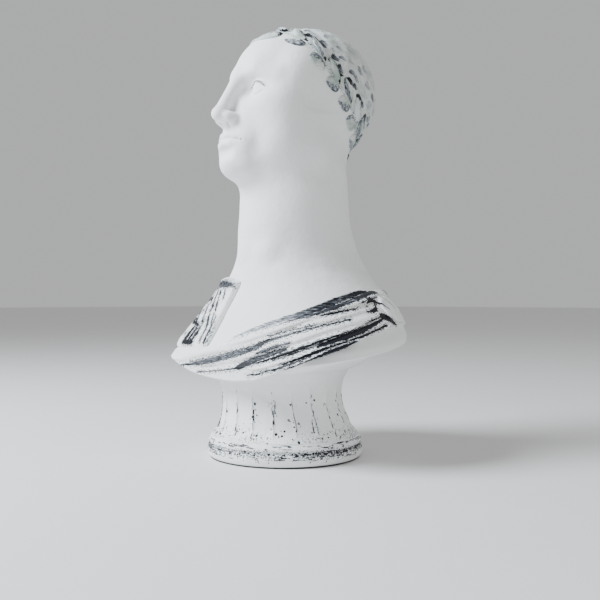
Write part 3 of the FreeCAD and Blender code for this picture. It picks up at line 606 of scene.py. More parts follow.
# ---- materials ----
class Graph:
    """A node material under construction."""

    def __init__(self, name):
        self.material = bpy.data.materials.new(name)
        self.material.use_nodes = True
        self.tree = self.material.node_tree
        self.tree.nodes.clear()

    def add(self, kind, inputs=None, **settings):
        node = self.tree.nodes.new(kind)
        for key, value in settings.items():
            setattr(node, key, value)
        for key, value in (inputs or {}).items():
            self.plug(node.inputs[key], value)
        return node

    def plug(self, socket, value):
        if isinstance(value, bpy.types.NodeSocket):
            self.tree.links.new(value, socket)
        else:
            socket.default_value = value

    def math(self, operation, a, b=0.0, clamp=False):
        node = self.add("ShaderNodeMath", {0: a, 1: b}, operation=operation, use_clamp=clamp)
        return node.outputs[0]

    def attribute(self, name):
        return self.add("ShaderNodeAttribute", attribute_name=name).outputs["Fac"]

    def place(self):
        return self.add("ShaderNodeTexCoord").outputs["Object"]

    def stretched(self, vector, scale, offset=(0, 0, 0)):
        inputs = {"Vector": vector, "Scale": scale, "Location": offset}
        return self.add("ShaderNodeMapping", inputs).outputs[0]

    def noise(self, vector, scale, detail=3.0, roughness=0.55):
        inputs = {"Vector": vector, "Scale": scale, "Detail": detail, "Roughness": roughness}
        return self.add("ShaderNodeTexNoise", inputs).outputs[0]

    def ramp(self, value, low, high, start=0.0, end=1.0):
        inputs = {"Value": value, "From Min": low, "From Max": high, "To Min": start, "To Max": end}
        return self.add("ShaderNodeMapRange", inputs, interpolation_type="SMOOTHSTEP").outputs[0]

    def mix(self, factor, a, b):
        node = self.add("ShaderNodeMix", {0: factor, 6: a, 7: b}, data_type="RGBA")
        return node.outputs[2]

    def finish(self, colour, roughness, bumps, metallic=0.0, specular=0.5):
        """Bumps are (height, distance in metres, strength) layers, coarse first."""
        normal = None
        for height, distance, strength in bumps:
            inputs = {"Height": height, "Distance": distance, "Strength": strength}
            if normal is not None:
                inputs["Normal"] = normal
            normal = self.add("ShaderNodeBump", inputs).outputs[0]
        inputs = {"Base Color": colour, "Roughness": roughness, "Metallic": metallic, "Normal": normal,
                  "Specular IOR Level": specular}
        shader = self.add("ShaderNodeBsdfPrincipled", inputs)
        output = self.add("ShaderNodeOutputMaterial")
        self.tree.links.new(shader.outputs[0], output.inputs[0])
        return self.material


WHITE = (0.89, 0.895, 0.885, 1.0)
COOL_WHITE = (0.86, 0.88, 0.90, 1.0)
INK_DARK = (0.006, 0.007, 0.011, 1.0)
INK_GREY = (0.22, 0.25, 0.30, 1.0)
WASH = (0.28, 0.37, 0.32, 1.0)


def ceramic(name, flow_along=1.3, flow_across=16.0):
    """Matt white slip with brushed ink, dry-brush marks, washes and splatter, all from mesh attributes."""
    g = Graph(name)
    place = g.place()
    flow = g.add("ShaderNodeCombineXYZ", {0: g.attribute("along"), 1: g.attribute("across")}).outputs[0]
    cloud = g.noise(place, 28.0, 3.0)
    grain = g.noise(place, 1100.0, 2.0)
    streak = g.noise(g.stretched(flow, (flow_along, flow_across, 1)), 1.0, 4.0, 0.6)
    ink, load = g.attribute("ink"), g.attribute("load")
    ragged = g.math("MULTIPLY", g.math("SUBTRACT", streak, 0.5), 3.6)
    edge = g.math("ADD", ink, ragged)
    edge = g.math("ADD", edge, g.math("MULTIPLY", g.math("SUBTRACT", grain, 0.5), 1.0))
    mask = g.ramp(edge, -0.15, 0.30)
    patchy = g.math("MULTIPLY", g.math("SUBTRACT", streak, 0.5), 1.6)
    body = g.math("ADD", g.math("MULTIPLY", load, 1.15), patchy)
    strength = g.math("MULTIPLY", mask, g.ramp(body, 0.0, 1.0), clamp=True)
    hatch = g.noise(g.stretched(flow, (flow_along * 2.6, flow_across * 0.8, 1), (7, 3, 0)), 1.0, 5.0, 0.7)
    hatch = g.math("ADD", hatch, g.math("MULTIPLY", g.math("SUBTRACT", grain, 0.5), 0.35))
    threshold = g.math("SUBTRACT", 0.78, g.math("MULTIPLY", g.attribute("dry"), 0.36))
    dry = g.ramp(g.math("SUBTRACT", hatch, threshold), 0.0, 0.05, 0.0, 0.92)
    strength = g.math("MAXIMUM", strength, dry)
    strength = g.math("MAXIMUM", strength, splatter(g, place))
    tint = g.mix(cloud, WHITE, COOL_WHITE)
    mottle = g.ramp(g.noise(place, 75.0, 4.0, 0.6), 0.30, 0.72, 0.35, 1.0)
    haze = g.math("MULTIPLY", g.attribute("wash"), mottle)
    tint = g.mix(haze, tint, WASH)
    thin = g.ramp(strength, 0.15, 0.75)
    tint = g.mix(g.math("MULTIPLY", g.ramp(strength, 0.0, 0.3), 0.85), tint, INK_GREY)
    tint = g.mix(thin, tint, INK_DARK)
    roughness = g.ramp(g.math("ADD", g.math("MULTIPLY", cloud, 0.5), g.math("MULTIPLY", strength, -0.4)),
                       -0.3, 0.5, 0.42, 0.72)
    lumps = g.noise(place, 110.0, 3.0)
    bumps = [(lumps, 0.004, 0.16), (streak, 0.0008, 0.10), (grain, 0.0004, 0.22)]
    return g.finish(tint, roughness, bumps, specular=0.2)


def splatter(g, place):
    """Fine round drops of mixed size, where the spots attribute allows them."""
    layers = None
    for scale, size in ((210.0, 0.16), (420.0, 0.20)):
        cells = g.add("ShaderNodeTexVoronoi", {"Vector": place, "Scale": scale, "Randomness": 1.0})
        pick = g.add("ShaderNodeSeparateColor", {0: cells.outputs["Color"]}).outputs[0]
        present = g.ramp(pick, 0.72, 1.0)
        radius = g.math("MULTIPLY", g.math("MULTIPLY", present, g.attribute("spots")), size + 0.08)
        drop = g.ramp(g.math("SUBTRACT", radius, cells.outputs["Distance"]), -0.01, 0.03)
        layers = drop if layers is None else g.math("MAXIMUM", layers, drop)
    return layers


def plaster(name):
    g = Graph(name)
    place = g.place()
    cloud = g.noise(place, 60.0, 4.0)
    pits = g.noise(place, 900.0, 2.0)
    colour = g.mix(cloud, (0.66, 0.63, 0.57, 1), (0.74, 0.72, 0.67, 1))
    return g.finish(colour, g.ramp(cloud, 0.2, 0.8, 0.75, 0.9), [(cloud, 0.002, 0.3), (pits, 0.0005, 0.5)])


def zinc_steel(name):
    g = Graph(name)
    place = g.place()
    brushed = g.noise(g.stretched(place, (1, 1, 0.08)), 900.0, 3.0)
    bloom = g.noise(place, 130.0, 3.0)
    colour = g.mix(bloom, (0.50, 0.51, 0.53, 1), (0.62, 0.63, 0.64, 1))
    return g.finish(colour, g.ramp(brushed, 0.3, 0.7, 0.28, 0.45), [(brushed, 0.0002, 0.3)], metallic=1.0)


# Felt for the pad under the foot. It is real felt, and its near-black colour is also painted shadow: it
# stands in for the thin shadow line under the foot's edge.
def felt(name):
    g = Graph(name)
    place = g.place()
    fibres = g.noise(g.stretched(place, (1, 0.35, 1)), 1800.0, 5.0, 0.7)
    clumps = g.noise(place, 320.0, 3.0)
    # near-black felt colour, partly painted shadow for the dark line under the foot
    colour = g.mix(fibres, (0.020, 0.022, 0.022, 1), (0.075, 0.08, 0.08, 1))
    return g.finish(colour, 0.95, [(clumps, 0.0015, 0.5), (fibres, 0.0006, 0.8)])


CERAMIC = ceramic("white_slip")
SOCLE_CERAMIC = ceramic("white_slip_socle", flow_along=1.8, flow_across=13.0)
LEAF_CERAMIC = ceramic("washed_leaf", flow_along=3.0, flow_across=9.0)


# ---- pieces ----
PAINT_CENTRE_Y = 10.0
PAINT_SEAM = -131.0             # turn in degrees where the painted plane wraps round


def body_paint(points, strokes):
    """Ink, load and flow attributes for points round the body."""
    centred = points - np.array([0.0, PAINT_CENTRE_Y, 0.0])
    turn = np.degrees(np.arctan2(centred[:, 0], -centred[:, 1]))
    turn = np.where(turn < PAINT_SEAM, turn + 360, turn)
    ink, load = paint(turn * WRAP, points[:, 2], wrapped(strokes))
    return {"ink": ink, "load": load, "along": turn * WRAP / 10, "across": points[:, 2] / 10}


ALL_STROKES = SASH_STROKES + RIGHT_STROKES + BACK_STROKES
LID_STROKES = [
    [(9.6, -1.0, 0.5, 0.15), (14.0, 2.6, 0.9, 0.3), (20.25, 5.0, 1.1, 0.35), (27.0, 3.2, 1.0, 0.35),
     (31.8, -0.8, 0.6, 0.2)],
]


WREATH_RADIUS = 66.0            # mm from the head's centre to the wreath, for lengths along it


def wreath_arc(first, last):
    """Turns along the wreath in radians, and the length of the wreath up to each of them."""
    turns = np.radians(np.linspace(first, last, 181))
    fall = wreath_fall(turns)
    track = np.stack([np.sin(turns) * np.sin(fall), -np.cos(turns) * np.sin(fall), np.cos(fall)], -1)
    steps = np.linalg.norm(np.diff(WREATH_RADIUS * track, axis=0), axis=1)
    return turns, np.concatenate([[0], np.cumsum(steps)])


def wreath_plane(q):
    """Arc length along the wreath from the forehead and height above it, in mm."""
    turn, fall = head_polar(q)
    turns, arc = wreath_arc(0, 180)
    return np.interp(np.abs(turn), turns, arc), (wreath_fall(turn) - fall) * WREATH_RADIUS


def hair_strokes():
    """Fat leaf-like dabs of thin and thick pigment over the hair, slanting back from the wreath."""
    chance = np.random.default_rng(23)
    strokes = []
    for row, (lift, load, dabs) in enumerate(((13, 0.85, 15), (22, 0.5, 13), (33, 0.38, 11), (45, 0.32, 9))):
        for along in np.linspace(6 + 3 * (row % 2), 168, dabs):
            a = along + chance.uniform(-3, 3)
            b = lift + chance.uniform(-3, 3)
            reach, wide = chance.uniform(7, 12), chance.uniform(2.2, 3.6)
            shade = load * chance.uniform(0.35, 1.15)
            strokes.append([(a, b, wide * 0.5, shade), (a + reach * 0.5, b + reach * 0.3, wide, shade * 0.8),
                            (a + reach, b + reach * 0.45, wide * 0.3, shade * 0.5)])
    for along in np.linspace(14, 166, 17):
        a, b = along + chance.uniform(-4, 4), chance.uniform(-1, 9)
        strokes.append([(a, b, 1.6, 1.0), (a + chance.uniform(2, 6), b + chance.uniform(-3, 3), 0.8, 0.9)])
    return strokes


def head_piece():
    voxel = 1.1
    low, high = (-116, -90, 86), (116, 104, CROWN + 6)
    points, quads = mesh_field(head_field, low, high, voxel)
    points = roughen(points, quads, 0.35, 17.0, 3)
    painted = body_paint(points, ALL_STROKES)
    q = to_head(points)
    turn, fall = head_polar(q)
    up = points[:, 2] > 225
    face = up & (q[:, 1] < -30) & (np.abs(q[:, 2]) < 20)
    hair = up & (wreath_fall(turn) > fall)
    along, above = wreath_plane(q)
    for place, plane, strokes in ((face, (np.abs(q[:, 0]), q[:, 2]), LID_STROKES),
                                  (hair, (along, above), hair_strokes())):
        ink, load = paint(plane[0][place], plane[1][place], strokes)
        painted["ink"][place] = ink
        painted["load"][place] = load
    bare = up & ~face & ~hair
    painted["ink"][bare] = -9.0
    painted["along"] = np.where(up, along / 10, painted["along"])
    painted["across"] = np.where(up, above / 10, painted["across"])
    inside = smoothstep(above, -5, 8) * up
    painted["wash"] = 0.62 * inside
    painted["dry"] = 0.45 * inside
    return make_piece("head_casting", points, quads.tolist(), painted, CERAMIC,
                      ["head_neck"])


RIM_HEIGHT = 95.0               # below this ring a slab hangs straight down to its hem


def slab_piece(name, node, edges, grooves, columns, rows, thick=SLAB_THICK, inner=LAY_GAP, dry=0.5,
               slope=0.0, low_roll=1.8, tip=0.0, tip_reach=7.0):
    """A folded slab on the body between a lower and an upper outline, closed on all sides.

    The brushed streaks climb at the slope in degrees. The lower edge rounds off over low_roll mm. The slab
    juts out by tip mm at the bust's own right, fading over tip_reach mm above its hem.
    """
    degrees = np.linspace(edges[0][0], edges[-1][0], columns)
    turn = np.radians(degrees)[None, :]
    low, high = column(edges, 1)(degrees), column(edges, 2)(degrees)
    share = (0.5 - 0.5 * np.cos(np.linspace(0, math.pi, rows))) * 0.35 + np.linspace(0, 1, rows) * 0.65
    z = low + (high - low) * share[:, None]
    height = ring_height(turn, z)
    span = np.maximum(high - low, 0.5)
    above_hem, below_top = share[:, None] * span, (1 - share[:, None]) * span
    to_edge = np.minimum(above_hem / low_roll, below_top / 3.2)
    ends = np.minimum(degrees - degrees[0], degrees[-1] - degrees) * WRAP + 0.6
    roll = np.sqrt(1 - (1 - np.clip(to_edge, 0, 1)) ** 2)
    roll = roll * np.sqrt(1 - (1 - np.clip(ends / 2.4, 0, 1)) ** 2)
    rolled_edge = 0.9 * np.exp(-((below_top - 3.5) / 2.6) ** 2)
    rolled_edge += tip * np.exp(-((degrees + 62) / 16) ** 2) * np.exp(-(above_hem / tip_reach) ** 2)
    flat_u = np.broadcast_to(degrees * WRAP, z.shape)
    relief = np.zeros(z.shape)
    for width, stations in grooves:
        line, depth = paint(flat_u, z, [[(degree * WRAP, at, 0.0, deep) for degree, at, deep in stations]])
        relief -= depth * np.exp(-(line / width) ** 2)
        relief += 0.45 * depth * np.exp(-((-line - width * 1.9) / width) ** 2)
    thin = 1 - 0.65 * smoothstep(degrees, 92, 108) * (1 - smoothstep(degrees, 150, 180))
    proud = inner + 0.5 + ((thick - 0.5) * thin + rolled_edge + relief) * roll
    outer = ring_point(turn, np.maximum(height, RIM_HEIGHT), proud)
    outer[..., 2] = np.where(height < RIM_HEIGHT, z, outer[..., 2])
    inside = ring_point(turn, height, inner)
    inside[..., 2] = z
    loop = np.concatenate([outer, inside[::-1]])
    points = loop.reshape(-1, 3)
    soft = lattice_noise(points, 9.0, 11) * 0.25 + lattice_noise(points, 3.5, 12) * 0.12
    outward = points - np.array([0.0, 12.0, 0.0])
    outward[:, 2] = 0
    outward /= np.linalg.norm(outward, axis=1, keepdims=True)
    shown = np.concatenate([roll, np.zeros_like(roll)]).reshape(-1)
    points = points + outward * (soft * shown)[:, None]
    faces = grid_faces(2 * rows, columns, close_rows=True) + cap_faces(rows, columns)
    ink, load = paint(flat_u, z, wrapped(ALL_STROKES))
    near_ink = 0.35 + 0.65 * np.exp(-np.maximum(-ink, 0) / 3.5)
    cos_slope, sin_slope = math.cos(math.radians(slope)), math.sin(math.radians(slope))
    along = (flat_u * cos_slope + z * sin_slope) / 10
    across = (z * cos_slope - flat_u * sin_slope) / 10
    attributes = {"ink": ink, "load": load, "dry": dry * near_ink, "along": along, "across": across}
    doubled = {key: np.concatenate([value, value[::-1]]) for key, value in attributes.items()}
    return make_piece(name, points, faces, doubled, CERAMIC, [node])


SASH_EDGES = [
    (-88, 93, 96), (-74, 91, 98), (-60, 88, 99.3), (-40, 81, 99.8), (-19, 75.8, 102.5),
    (8, 73.4, 112), (25, 75.4, 119.6), (33, 78.8, 123),
    (45, 87, 129), (52, 93.5, 132.5), (65, 103, 139), (81, 114, 146), (100, 119.5, 152),
    (115, 121.5, 153.2), (130, 121.5, 153.7),
]
RIGHT_EDGES = [
    (-130, 97, 158), (-110, 95, 160), (-92, 93.5, 162.5), (-84, 93.8, 163.5), (-74, 95.6, 164.5),
    (-59, 96.6, 166), (-40, 97.2, 165), (-22, 100.6, 163.5), (-17, 122, 162), (-12, 145, 161),
    (-9, 157, 160.2),
]
BACK_EDGES = [
    (130, 121.5, 153.7), (150, 119, 155.5), (170, 114, 156.5), (190, 108, 157.5), (210, 102, 158),
    (230, 97, 158),
]
LAP_EDGES = [
    (94, 137, 142), (96, 131, 146), (99, 126.5, 147.5), (103, 124.5, 147), (107, 125, 144),
    (110, 127.5, 139),
]


def underside_lift(degrees, height):
    """How much higher the body's underside runs on its own left, where it leaves the sash, in mm."""
    behind_sash = smoothstep(degrees, 45, 85) * (1 - smoothstep(degrees, 165, 178))
    below_rim = smoothstep(height, BUST_BASE, 88.0) * (1 - smoothstep(height, 89.0, 103.0))
    return 7.0 * behind_sash * below_rim


def joint_height(turn, proud):
    """The ring height at which a wall of the shoulders meets the sloping joint."""
    (y0, z0), (y1, z1) = SPLIT_FRONT, SPLIT_BACK
    slope = (z1 - z0) / (y1 - y0)
    low, high = np.full(turn.shape, 84.0), np.full(turn.shape, 170.0)
    for _ in range(30):
        mid = (low + high) / 2
        wall = ring_point(turn, mid, proud)
        above = wall[..., 2] > z0 + slope * (wall[..., 1] - y0) - 0.05
        high = np.where(above, mid, high)
        low = np.where(above, low, mid)
    return low


def shoulder_piece():
    """The shoulder casting: outside from its flat base up to the joint, then back down its hollow inside."""
    columns = 480
    turn = np.linspace(-math.pi, math.pi, columns, endpoint=False)
    outer_heights = BUST_BASE + (joint_height(turn, 0.0) - BUST_BASE) * np.linspace(0, 1, 80)[:, None]
    outer = ring_point(turn, outer_heights)
    outer[..., 2] += underside_lift(np.degrees(turn), outer_heights)
    climb = joint_height(turn, -SHELL_WALL) - HOLLOW_FLOOR
    inner = ring_point(turn, HOLLOW_FLOOR + climb * np.linspace(1, 0, 24)[:, None], -SHELL_WALL)
    floor = ring_rows([(44.0, 90.3), (6.0, 90.0), (6.0, BUST_BASE), (40.0, BUST_BASE)], turn)
    points = np.concatenate([outer, inner, floor]).reshape(-1, 3)
    shown = np.zeros(len(points))
    shown[5 * columns:len(outer) * columns] = 1
    outward = points * np.array([1, 1, 0]) - np.array([0, 10, 0])
    outward /= np.linalg.norm(outward, axis=1, keepdims=True)
    lumps = 0.5 * lattice_noise(points, 21.0, 5) + 0.2 * lattice_noise(points, 7.0, 6)
    points = points + outward * (lumps * shown)[:, None]
    painted = body_paint(points, ALL_STROKES)
    faces = grid_faces(len(points) // columns, columns, close_rows=True, close_columns=True)
    return make_piece("shoulder_casting", points, faces, painted, CERAMIC,
                      ["shoulder_shell"])


COLUMN_OUTLINE = [
    (FOOT_TOP, 68), (24, 65.2), (29, 62), (34.7, 59.8), (41, 57.8), (48.7, 56.1), (55, 55.6),
    (61, 55.8), (70.3, 57.3), (76, 59.9), (COLUMN_TOP, 61.3),
]
FOOT_OUTLINE = [
    (FOOT_BOTTOM, 69.6), (2.6, 70.7), (5, 71.5), (8, 71.8), (10.2, 71.5), (11.8, 70.7), (12.9, 69.6),
    (13.6, 69.9), (14.6, 70.7), (16.4, 70.5), (18, 69.6), (19.2, 68.8), (FOOT_TOP, 68.2),
]


def flute_strokes():
    """Thin runs of ink down the arrises, clotted here and there, with rows of drops beside them."""
    chance = np.random.default_rng(41)
    strokes = []
    for i in range(FLUTES):
        arris = 360 * i / FLUTES - 180
        top, low = chance.uniform(48, 68), chance.uniform(22, 34)
        load, bend = chance.uniform(0.3, 0.9), chance.uniform(-1.5, 1.5)
        strokes.append([(arris, top, 0.1, load * 0.5),
                        (arris + bend * 0.4, (top + low) / 2, 0.35, load * 0.9),
                        (arris + bend, low, 0.25, load)])
        for _ in range(int(chance.uniform(0, 4))):
            z, turn = chance.uniform(24, 46), arris + chance.uniform(-2.5, 2.5)
            strokes.append([(turn, z, 0.75, 0.9),
                            (turn + chance.uniform(-1, 1), z + chance.uniform(4, 12), 0.3, 1.0)])
        for _ in range(int(chance.uniform(9, 24))):
            turn, z = arris + chance.uniform(-5, 5), 22 + 38 * chance.uniform() ** 1.5
            size = 0.32 + 0.85 * chance.uniform() ** 3
            strokes.append([(turn, z, size, 1.0), (turn + 0.2, z - size * 0.4, size * 0.8, 1.0)])
    return strokes


def ring_rows(radii_and_heights, turn):
    """Plain round rows of points from outside to inside."""
    rows = [np.stack(np.broadcast_arrays(r * np.sin(turn), -r * np.cos(turn), z), -1)
            for r, z in radii_and_heights]
    return np.array(rows)


def round_piece(name, node, outer, inner, painted, lumps, seeds):
    """A closed ring mesh from a painted outside and plain inner rows, slightly uneven outside."""
    columns = outer.shape[1]
    points = np.concatenate([outer, inner]).reshape(-1, 3)
    shown = np.zeros(len(points))
    shown[columns:outer.size // 3 - columns] = 1
    outward = points * np.array([1, 1, 0])
    outward /= np.linalg.norm(outward, axis=1, keepdims=True)
    uneven = lumps * lattice_noise(points, 15.0, seeds) + 0.4 * lumps * lattice_noise(points, 4.5, seeds + 1)
    points = points + outward * (uneven * shown)[:, None]
    attributes = {}
    for key, value in painted.items():
        value = np.broadcast_to(value, outer.shape[:2])
        attributes[key] = np.concatenate([value, np.full(inner.shape[:2], -9.0 if key == "ink" else 0.0)])
    faces = grid_faces(len(outer) + len(inner), columns, close_rows=True, close_columns=True)
    return make_piece(name, points, faces, attributes, SOCLE_CERAMIC, [node])


def column_piece():
    """The fluted column: shallow channels with arched tops, thin ink along their arrises."""
    turn = np.linspace(-math.pi, math.pi, 1100, endpoint=False)[None, :]
    z = np.linspace(FOOT_TOP, BUST_BASE + 0.2, 150)[:, None]
    radius = column(COLUMN_OUTLINE, 1)(z)
    across = np.abs((turn * FLUTES / (2 * math.pi)) % 1.0 - 0.5) * 2
    inside = smoothstep(70.0 - 6.0 * across ** 2 - z, 0, 9.0) * smoothstep(z, FOOT_TOP + 1, FOOT_TOP + 9)
    channel = 1.15 * np.sqrt(np.clip(1 - across ** 2, 0, 1))
    r = radius - channel * inside + 0.3 * np.exp(-((across - 1) / 0.10) ** 2) * inside
    lean = -3.0 * smoothstep(z, 25, 60) * math.sqrt(0.5)
    outer = np.stack(np.broadcast_arrays(r * np.sin(turn) + lean, -r * np.cos(turn) + lean, z), -1)
    inner = ring_rows([(5.0, COLUMN_TOP), (5.0, 72.0), (46.5, 72.0), (46.5, 17.0), (59.5, 17.0),
                       (60.0, FOOT_TOP)], turn[0])
    degrees, heights = np.broadcast_arrays(np.degrees(turn), z)
    ink, load = paint(degrees, heights, flute_strokes())
    low_part = 1 - smoothstep(z, 21, 50)
    patches = 0.5 + 0.5 * np.sin(turn * 5 + 1.0) * np.sin(turn * 3 - 0.5)
    painted = {"ink": ink, "load": load, "dry": low_part * (0.45 + 0.3 * patches), "spots": 1.4 * low_part,
               "along": z / 10 + 0 * turn, "across": turn * 5.8 + 0 * z}
    return round_piece("socle_column_body", "socle_column", outer, inner, painted, 0.4, 8)


def foot_strokes():
    """Scratchy strokes round the two bands of the foot, mostly level, some upright, with a few big drops."""
    chance = np.random.default_rng(77)
    strokes = []
    for _ in range(190):
        turn, z = chance.uniform(-180, 180), chance.choice([18.8, 17.4, 13.0, 11.6, 9.6, 7.4])
        reach, drop = chance.uniform(2, 17), chance.uniform(-0.9, 0.9)
        wide, load = chance.uniform(0.15, 0.7), chance.uniform(0.4, 1.0)
        strokes.append([(turn, z, wide * 0.4, load), (turn + reach * 0.5, z + drop, wide, load),
                        (turn + reach, z + drop * 0.5, wide * 0.3, load * 0.7)])
    for _ in range(170):
        turn, z = chance.uniform(-180, 180), chance.uniform(8.5, 13.5)
        wide, lean = chance.uniform(0.15, 0.6), chance.uniform(-1.6, 1.6)
        strokes.append([(turn, z, wide, 0.9), (turn + lean, z - chance.uniform(1.0, 4.5), wide * 0.4, 0.8)])
    for _ in range(26):
        turn, z = chance.uniform(-180, 180), chance.uniform(14.0, 19.5)
        size = chance.uniform(0.4, 1.1)
        strokes.append([(turn, z, size, 1.0), (turn + 0.7, z, size * 0.8, 1.0)])
    return strokes


def foot_piece():
    """The foot ring: two soft bands with a groove, scratchy with dry-brushed ink."""
    turn = np.linspace(-math.pi, math.pi, 900, endpoint=False)[None, :]
    z = np.linspace(FOOT_BOTTOM, FOOT_TOP, 64)[:, None]
    r = column(FOOT_OUTLINE, 1)(z) + np.zeros_like(turn)
    outer = np.stack(np.broadcast_arrays(r * np.sin(turn), -r * np.cos(turn), z), -1)
    inner = ring_rows([(60.3, FOOT_TOP), (60.3, 16.5), (46.5, 16.5), (46.5, FOOT_BOTTOM)], turn[0])
    degrees, heights = np.broadcast_arrays(np.degrees(turn), z)
    ink, load = paint(degrees, heights, foot_strokes())
    band = np.exp(-((z - 12.0) / 5.8) ** 2)
    patches = 0.5 + 0.5 * np.sin(turn * 2 - 0.6) * np.sin(turn * 5 + 1.3)
    painted = {"ink": ink, "load": load, "dry": band * (0.72 + 0.25 * patches), "spots": 1.4 * band,
               "along": turn * 7.0 + 0 * z, "across": z / 10 + 0 * turn}
    return round_piece("socle_foot_ring", "socle_foot", outer, inner, painted, 0.45, 18)


LEAF_LENGTH = 21.0
LEAF_WIDTH = 12.0
LEAF_TURNS = 8                  # pairs of leaves on each branch
LEAF_DRY = 0.35


def wreath_stations(first, last, count):
    """Evenly spaced places along the wreath, as turns in radians."""
    turns, length = wreath_arc(first, last)
    return np.interp(np.linspace(0, length[-1], count), length, turns)


def leaves_piece():
    """Oval leaves in pairs along both branches, domed, with a midrib, dark at the base."""
    chance = np.random.default_rng(7)
    along_steps, across_steps = 15, 9
    t = np.linspace(0, 1, along_steps)
    fullness = np.maximum(np.sin(np.pi * t ** 0.85), 0.01) ** 0.7
    points, faces = [], []
    stores = {key: [] for key in ("ink", "load", "wash", "dry", "along", "across")}
    for side in (1, -1):
        for root in wreath_stations(27, 172, LEAF_TURNS):
            for row in (1, -1):
                scale = chance.uniform(0.88, 1.12)
                slant = math.radians(chance.uniform(24, 40))
                grid_t, grid_c = np.meshgrid(t, np.linspace(-1, 1, across_steps), indexing="ij")
                a = grid_t * LEAF_LENGTH * scale
                c = grid_c * fullness[:, None] * LEAF_WIDTH * scale / 2
                forward = a * math.cos(slant) - c * math.sin(slant)
                out = a * math.sin(slant) + c * math.cos(slant) + 1.4
                turn = root - forward / (WREATH_RADIUS * math.sin(wreath_fall(root)))
                fall = wreath_fall(turn) - row * out / WREATH_RADIUS
                dome = (1 - grid_c ** 2) ** 0.6 * fullness[:, None]
                midrib = 0.35 * np.exp(-(grid_c / 0.16) ** 2)
                top = on_head(side * turn, fall, 0.5 + 1.5 * dome - midrib * dome + 0.7 * grid_t)
                base = on_head(side * turn, fall, -0.6)
                start = len(points) * 2 * along_steps * across_steps
                points.append(np.concatenate([top, base[::-1]]).reshape(-1, 3))
                loop = grid_faces(2 * along_steps, across_steps, close_rows=True, start=start)
                loop += cap_faces(along_steps, across_steps, start)
                faces += [quad[::-1] for quad in loop] if side * row < 0 else loop
                darkness = chance.uniform(0.5, 1.0)
                dark = (1.0 - grid_t * chance.uniform(3.0, 7.0)) * 2.2 * darkness - 0.5
                shade = 1.6 * (grid_c * chance.choice([-1, 1]) - chance.uniform(0.0, 0.5))
                level = np.maximum(dark, shade)
                tone = chance.uniform(0.6, 1.0)
                depth = np.where(dark > shade, 0.5 + 0.5 * darkness, 0.16 + 0.3 * darkness * tone)
                for store, value in zip(stores.values(), (level, depth, tone, LEAF_DRY, a / 10, c / 10)):
                    value = np.broadcast_to(value, level.shape)
                    store.append(np.concatenate([value, value[::-1]]).reshape(-1))
    attributes = {key: np.concatenate(values) for key, values in stores.items()}
    return make_piece("laurel_leaves", np.concatenate(points), faces, attributes, LEAF_CERAMIC,
                      ["wreath_leaves"])


def stem_piece():
    """The two twigs of the wreath, half sunk in the hair."""
    points, faces = [], []
    around, count = 12, 70
    for side in (1, -1):
        turns = wreath_stations(5, 176, count)
        centres = on_head(side * turns, wreath_fall(turns), 0.5)
        tangent = np.gradient(centres, axis=0)
        tangent /= np.linalg.norm(tangent, axis=1, keepdims=True)
        out = centres - HEAD_CENTRE
        out -= (out * tangent).sum(1, keepdims=True) * tangent
        out /= np.linalg.norm(out, axis=1, keepdims=True)
        cross = np.cross(tangent, out)
        radius = 1.2 * np.sin(np.linspace(0.25, math.pi - 0.12, count)) ** 0.4
        angle = np.linspace(0, 2 * math.pi, around, endpoint=False)
        ring = centres[:, None] + radius[:, None, None] * (
            np.cos(angle)[None, :, None] * out[:, None] + np.sin(angle)[None, :, None] * cross[:, None])
        start = len(points) * around * count
        points.append(ring.reshape(-1, 3))
        faces += grid_faces(count, around, close_columns=True, start=start)
        faces.append([start + i for i in range(around)][::-1])
        faces.append([start + (count - 1) * around + i for i in range(around)])
    points = np.concatenate(points)
    levels = {"ink": -0.4, "load": 0.8, "wash": 0.8, "dry": 0.6}
    attributes = {key: np.full(len(points), level) for key, level in levels.items()}
    attributes |= {"along": points[:, 0] / 10, "across": points[:, 2] / 10}
    return make_piece("laurel_stems", points, faces, attributes, LEAF_CERAMIC,
                      ["wreath_stem"])


def dress_hidden_nodes():
    """The CAD pieces that keep their own shape get their materials."""
    finishes = {
        "seat_bed": plaster("seat_plaster"), "anchor_plug": plaster("plug_plaster"),
        "tie_rod": zinc_steel("rod_steel"), "clamp_washer": zinc_steel("washer_steel"),
        "clamp_nut": zinc_steel("nut_steel"), "felt_pad": felt("felt"),
    }
    for node, material in finishes.items():
        for slot in frame["nodes"][node].material_slots:
            slot.material = material


# ---- stage: floor, light and camera ----
def floor():
    mesh = bpy.data.meshes.new("floor")
    half = 14.0
    corners = [(-half, -half, 0), (half, -half, 0), (half, half, 0), (-half, half, 0)]
    mesh.from_pydata(corners, [], [(0, 1, 2, 3)])
    piece = bpy.data.objects.new("floor", mesh)
    bpy.context.scene.collection.objects.link(piece)
    g = Graph("pale_floor")
    place = g.place()
    cloud = g.noise(place, 6.0, 4.0)
    grain = g.noise(place, 700.0, 2.0)
    colour = g.mix(cloud, (0.74, 0.732, 0.725, 1), (0.78, 0.772, 0.765, 1))
    mesh.materials.append(g.finish(colour, 0.6, [(grain, 0.0003, 0.15)]))


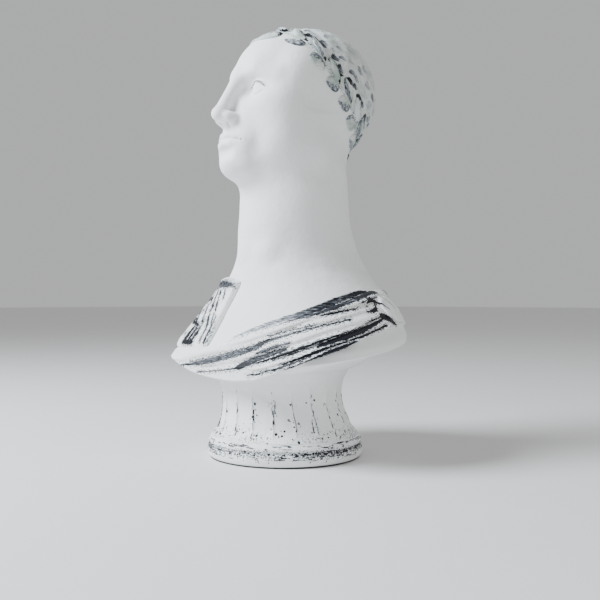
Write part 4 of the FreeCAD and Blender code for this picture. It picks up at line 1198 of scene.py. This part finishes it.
def soft_light(name, azimuth, elevation, distance, size, watts, colour):
    """An area light aimed at the bust's neck from a direction in degrees."""
    target = Vector((0, 0.01, 0.2))
    a, e = math.radians(azimuth), math.radians(elevation)
    back = Vector((math.sin(a) * math.cos(e), -math.cos(a) * math.cos(e), math.sin(e)))
    data = bpy.data.lights.new(name, "AREA")
    data.shape, data.size, data.energy, data.color = "DISK", size, watts, colour
    lamp = bpy.data.objects.new(name, data)
    lamp.location = target + back * distance
    lamp.rotation_mode = "QUATERNION"
    lamp.rotation_quaternion = (-back).to_track_quat("-Z", "Y")
    bpy.context.scene.collection.objects.link(lamp)


def world():
    background = bpy.data.worlds.new("studio")
    background.use_nodes = True
    shade = background.node_tree.nodes["Background"]
    shade.inputs[0].default_value = (0.86, 0.87, 0.88, 1)
    shade.inputs[1].default_value = 0.60
    bpy.context.scene.world = background


CAMERA_TURN = 45.0
CAMERA_HEIGHT = 0.1435
CAMERA_DISTANCE = 0.76
LENS = 48.9
SHIFT_X = 0.0253


def camera():
    data = bpy.data.cameras.new("camera")
    data.lens, data.sensor_width, data.shift_x = LENS, 36.0, SHIFT_X
    eye = bpy.data.objects.new("camera", data)
    a = math.radians(CAMERA_TURN)
    eye.location = (math.sin(a) * CAMERA_DISTANCE, -math.cos(a) * CAMERA_DISTANCE, CAMERA_HEIGHT)
    eye.rotation_euler = (math.radians(90), 0, a)
    bpy.context.scene.collection.objects.link(eye)
    bpy.context.scene.camera = eye


head_piece()
shoulder_piece()
slab_piece("sash", "drape_sash", SASH_EDGES, SASH_GROOVES, 600, 96, dry=0.85, slope=14, tip=6.0)
slab_piece("right_drape", "drape_right", RIGHT_EDGES, RIGHT_GROOVES, 420, 110, dry=1.0, slope=64,
           low_roll=11.0, tip=4.5, tip_reach=20.0)
slab_piece("back_drape", "drape_back", BACK_EDGES, BACK_GROOVES, 340, 80, dry=0.6, slope=-9)
slab_piece("shoulder_lobe", "shoulder_fold", LAP_EDGES, [], 80, 60, thick=3.0, inner=SLAB_THICK - 0.9,
           slope=60)
leaves_piece()
stem_piece()
column_piece()
foot_piece()
dress_hidden_nodes()
floor()
world()
soft_light("key", 45 - 75, 38, 1.5, 0.8, 58.0, (0.88, 0.94, 1.0))
soft_light("fill", 45 + 70, 20, 1.9, 1.5, 3.6, (1.0, 0.95, 0.80))
camera()
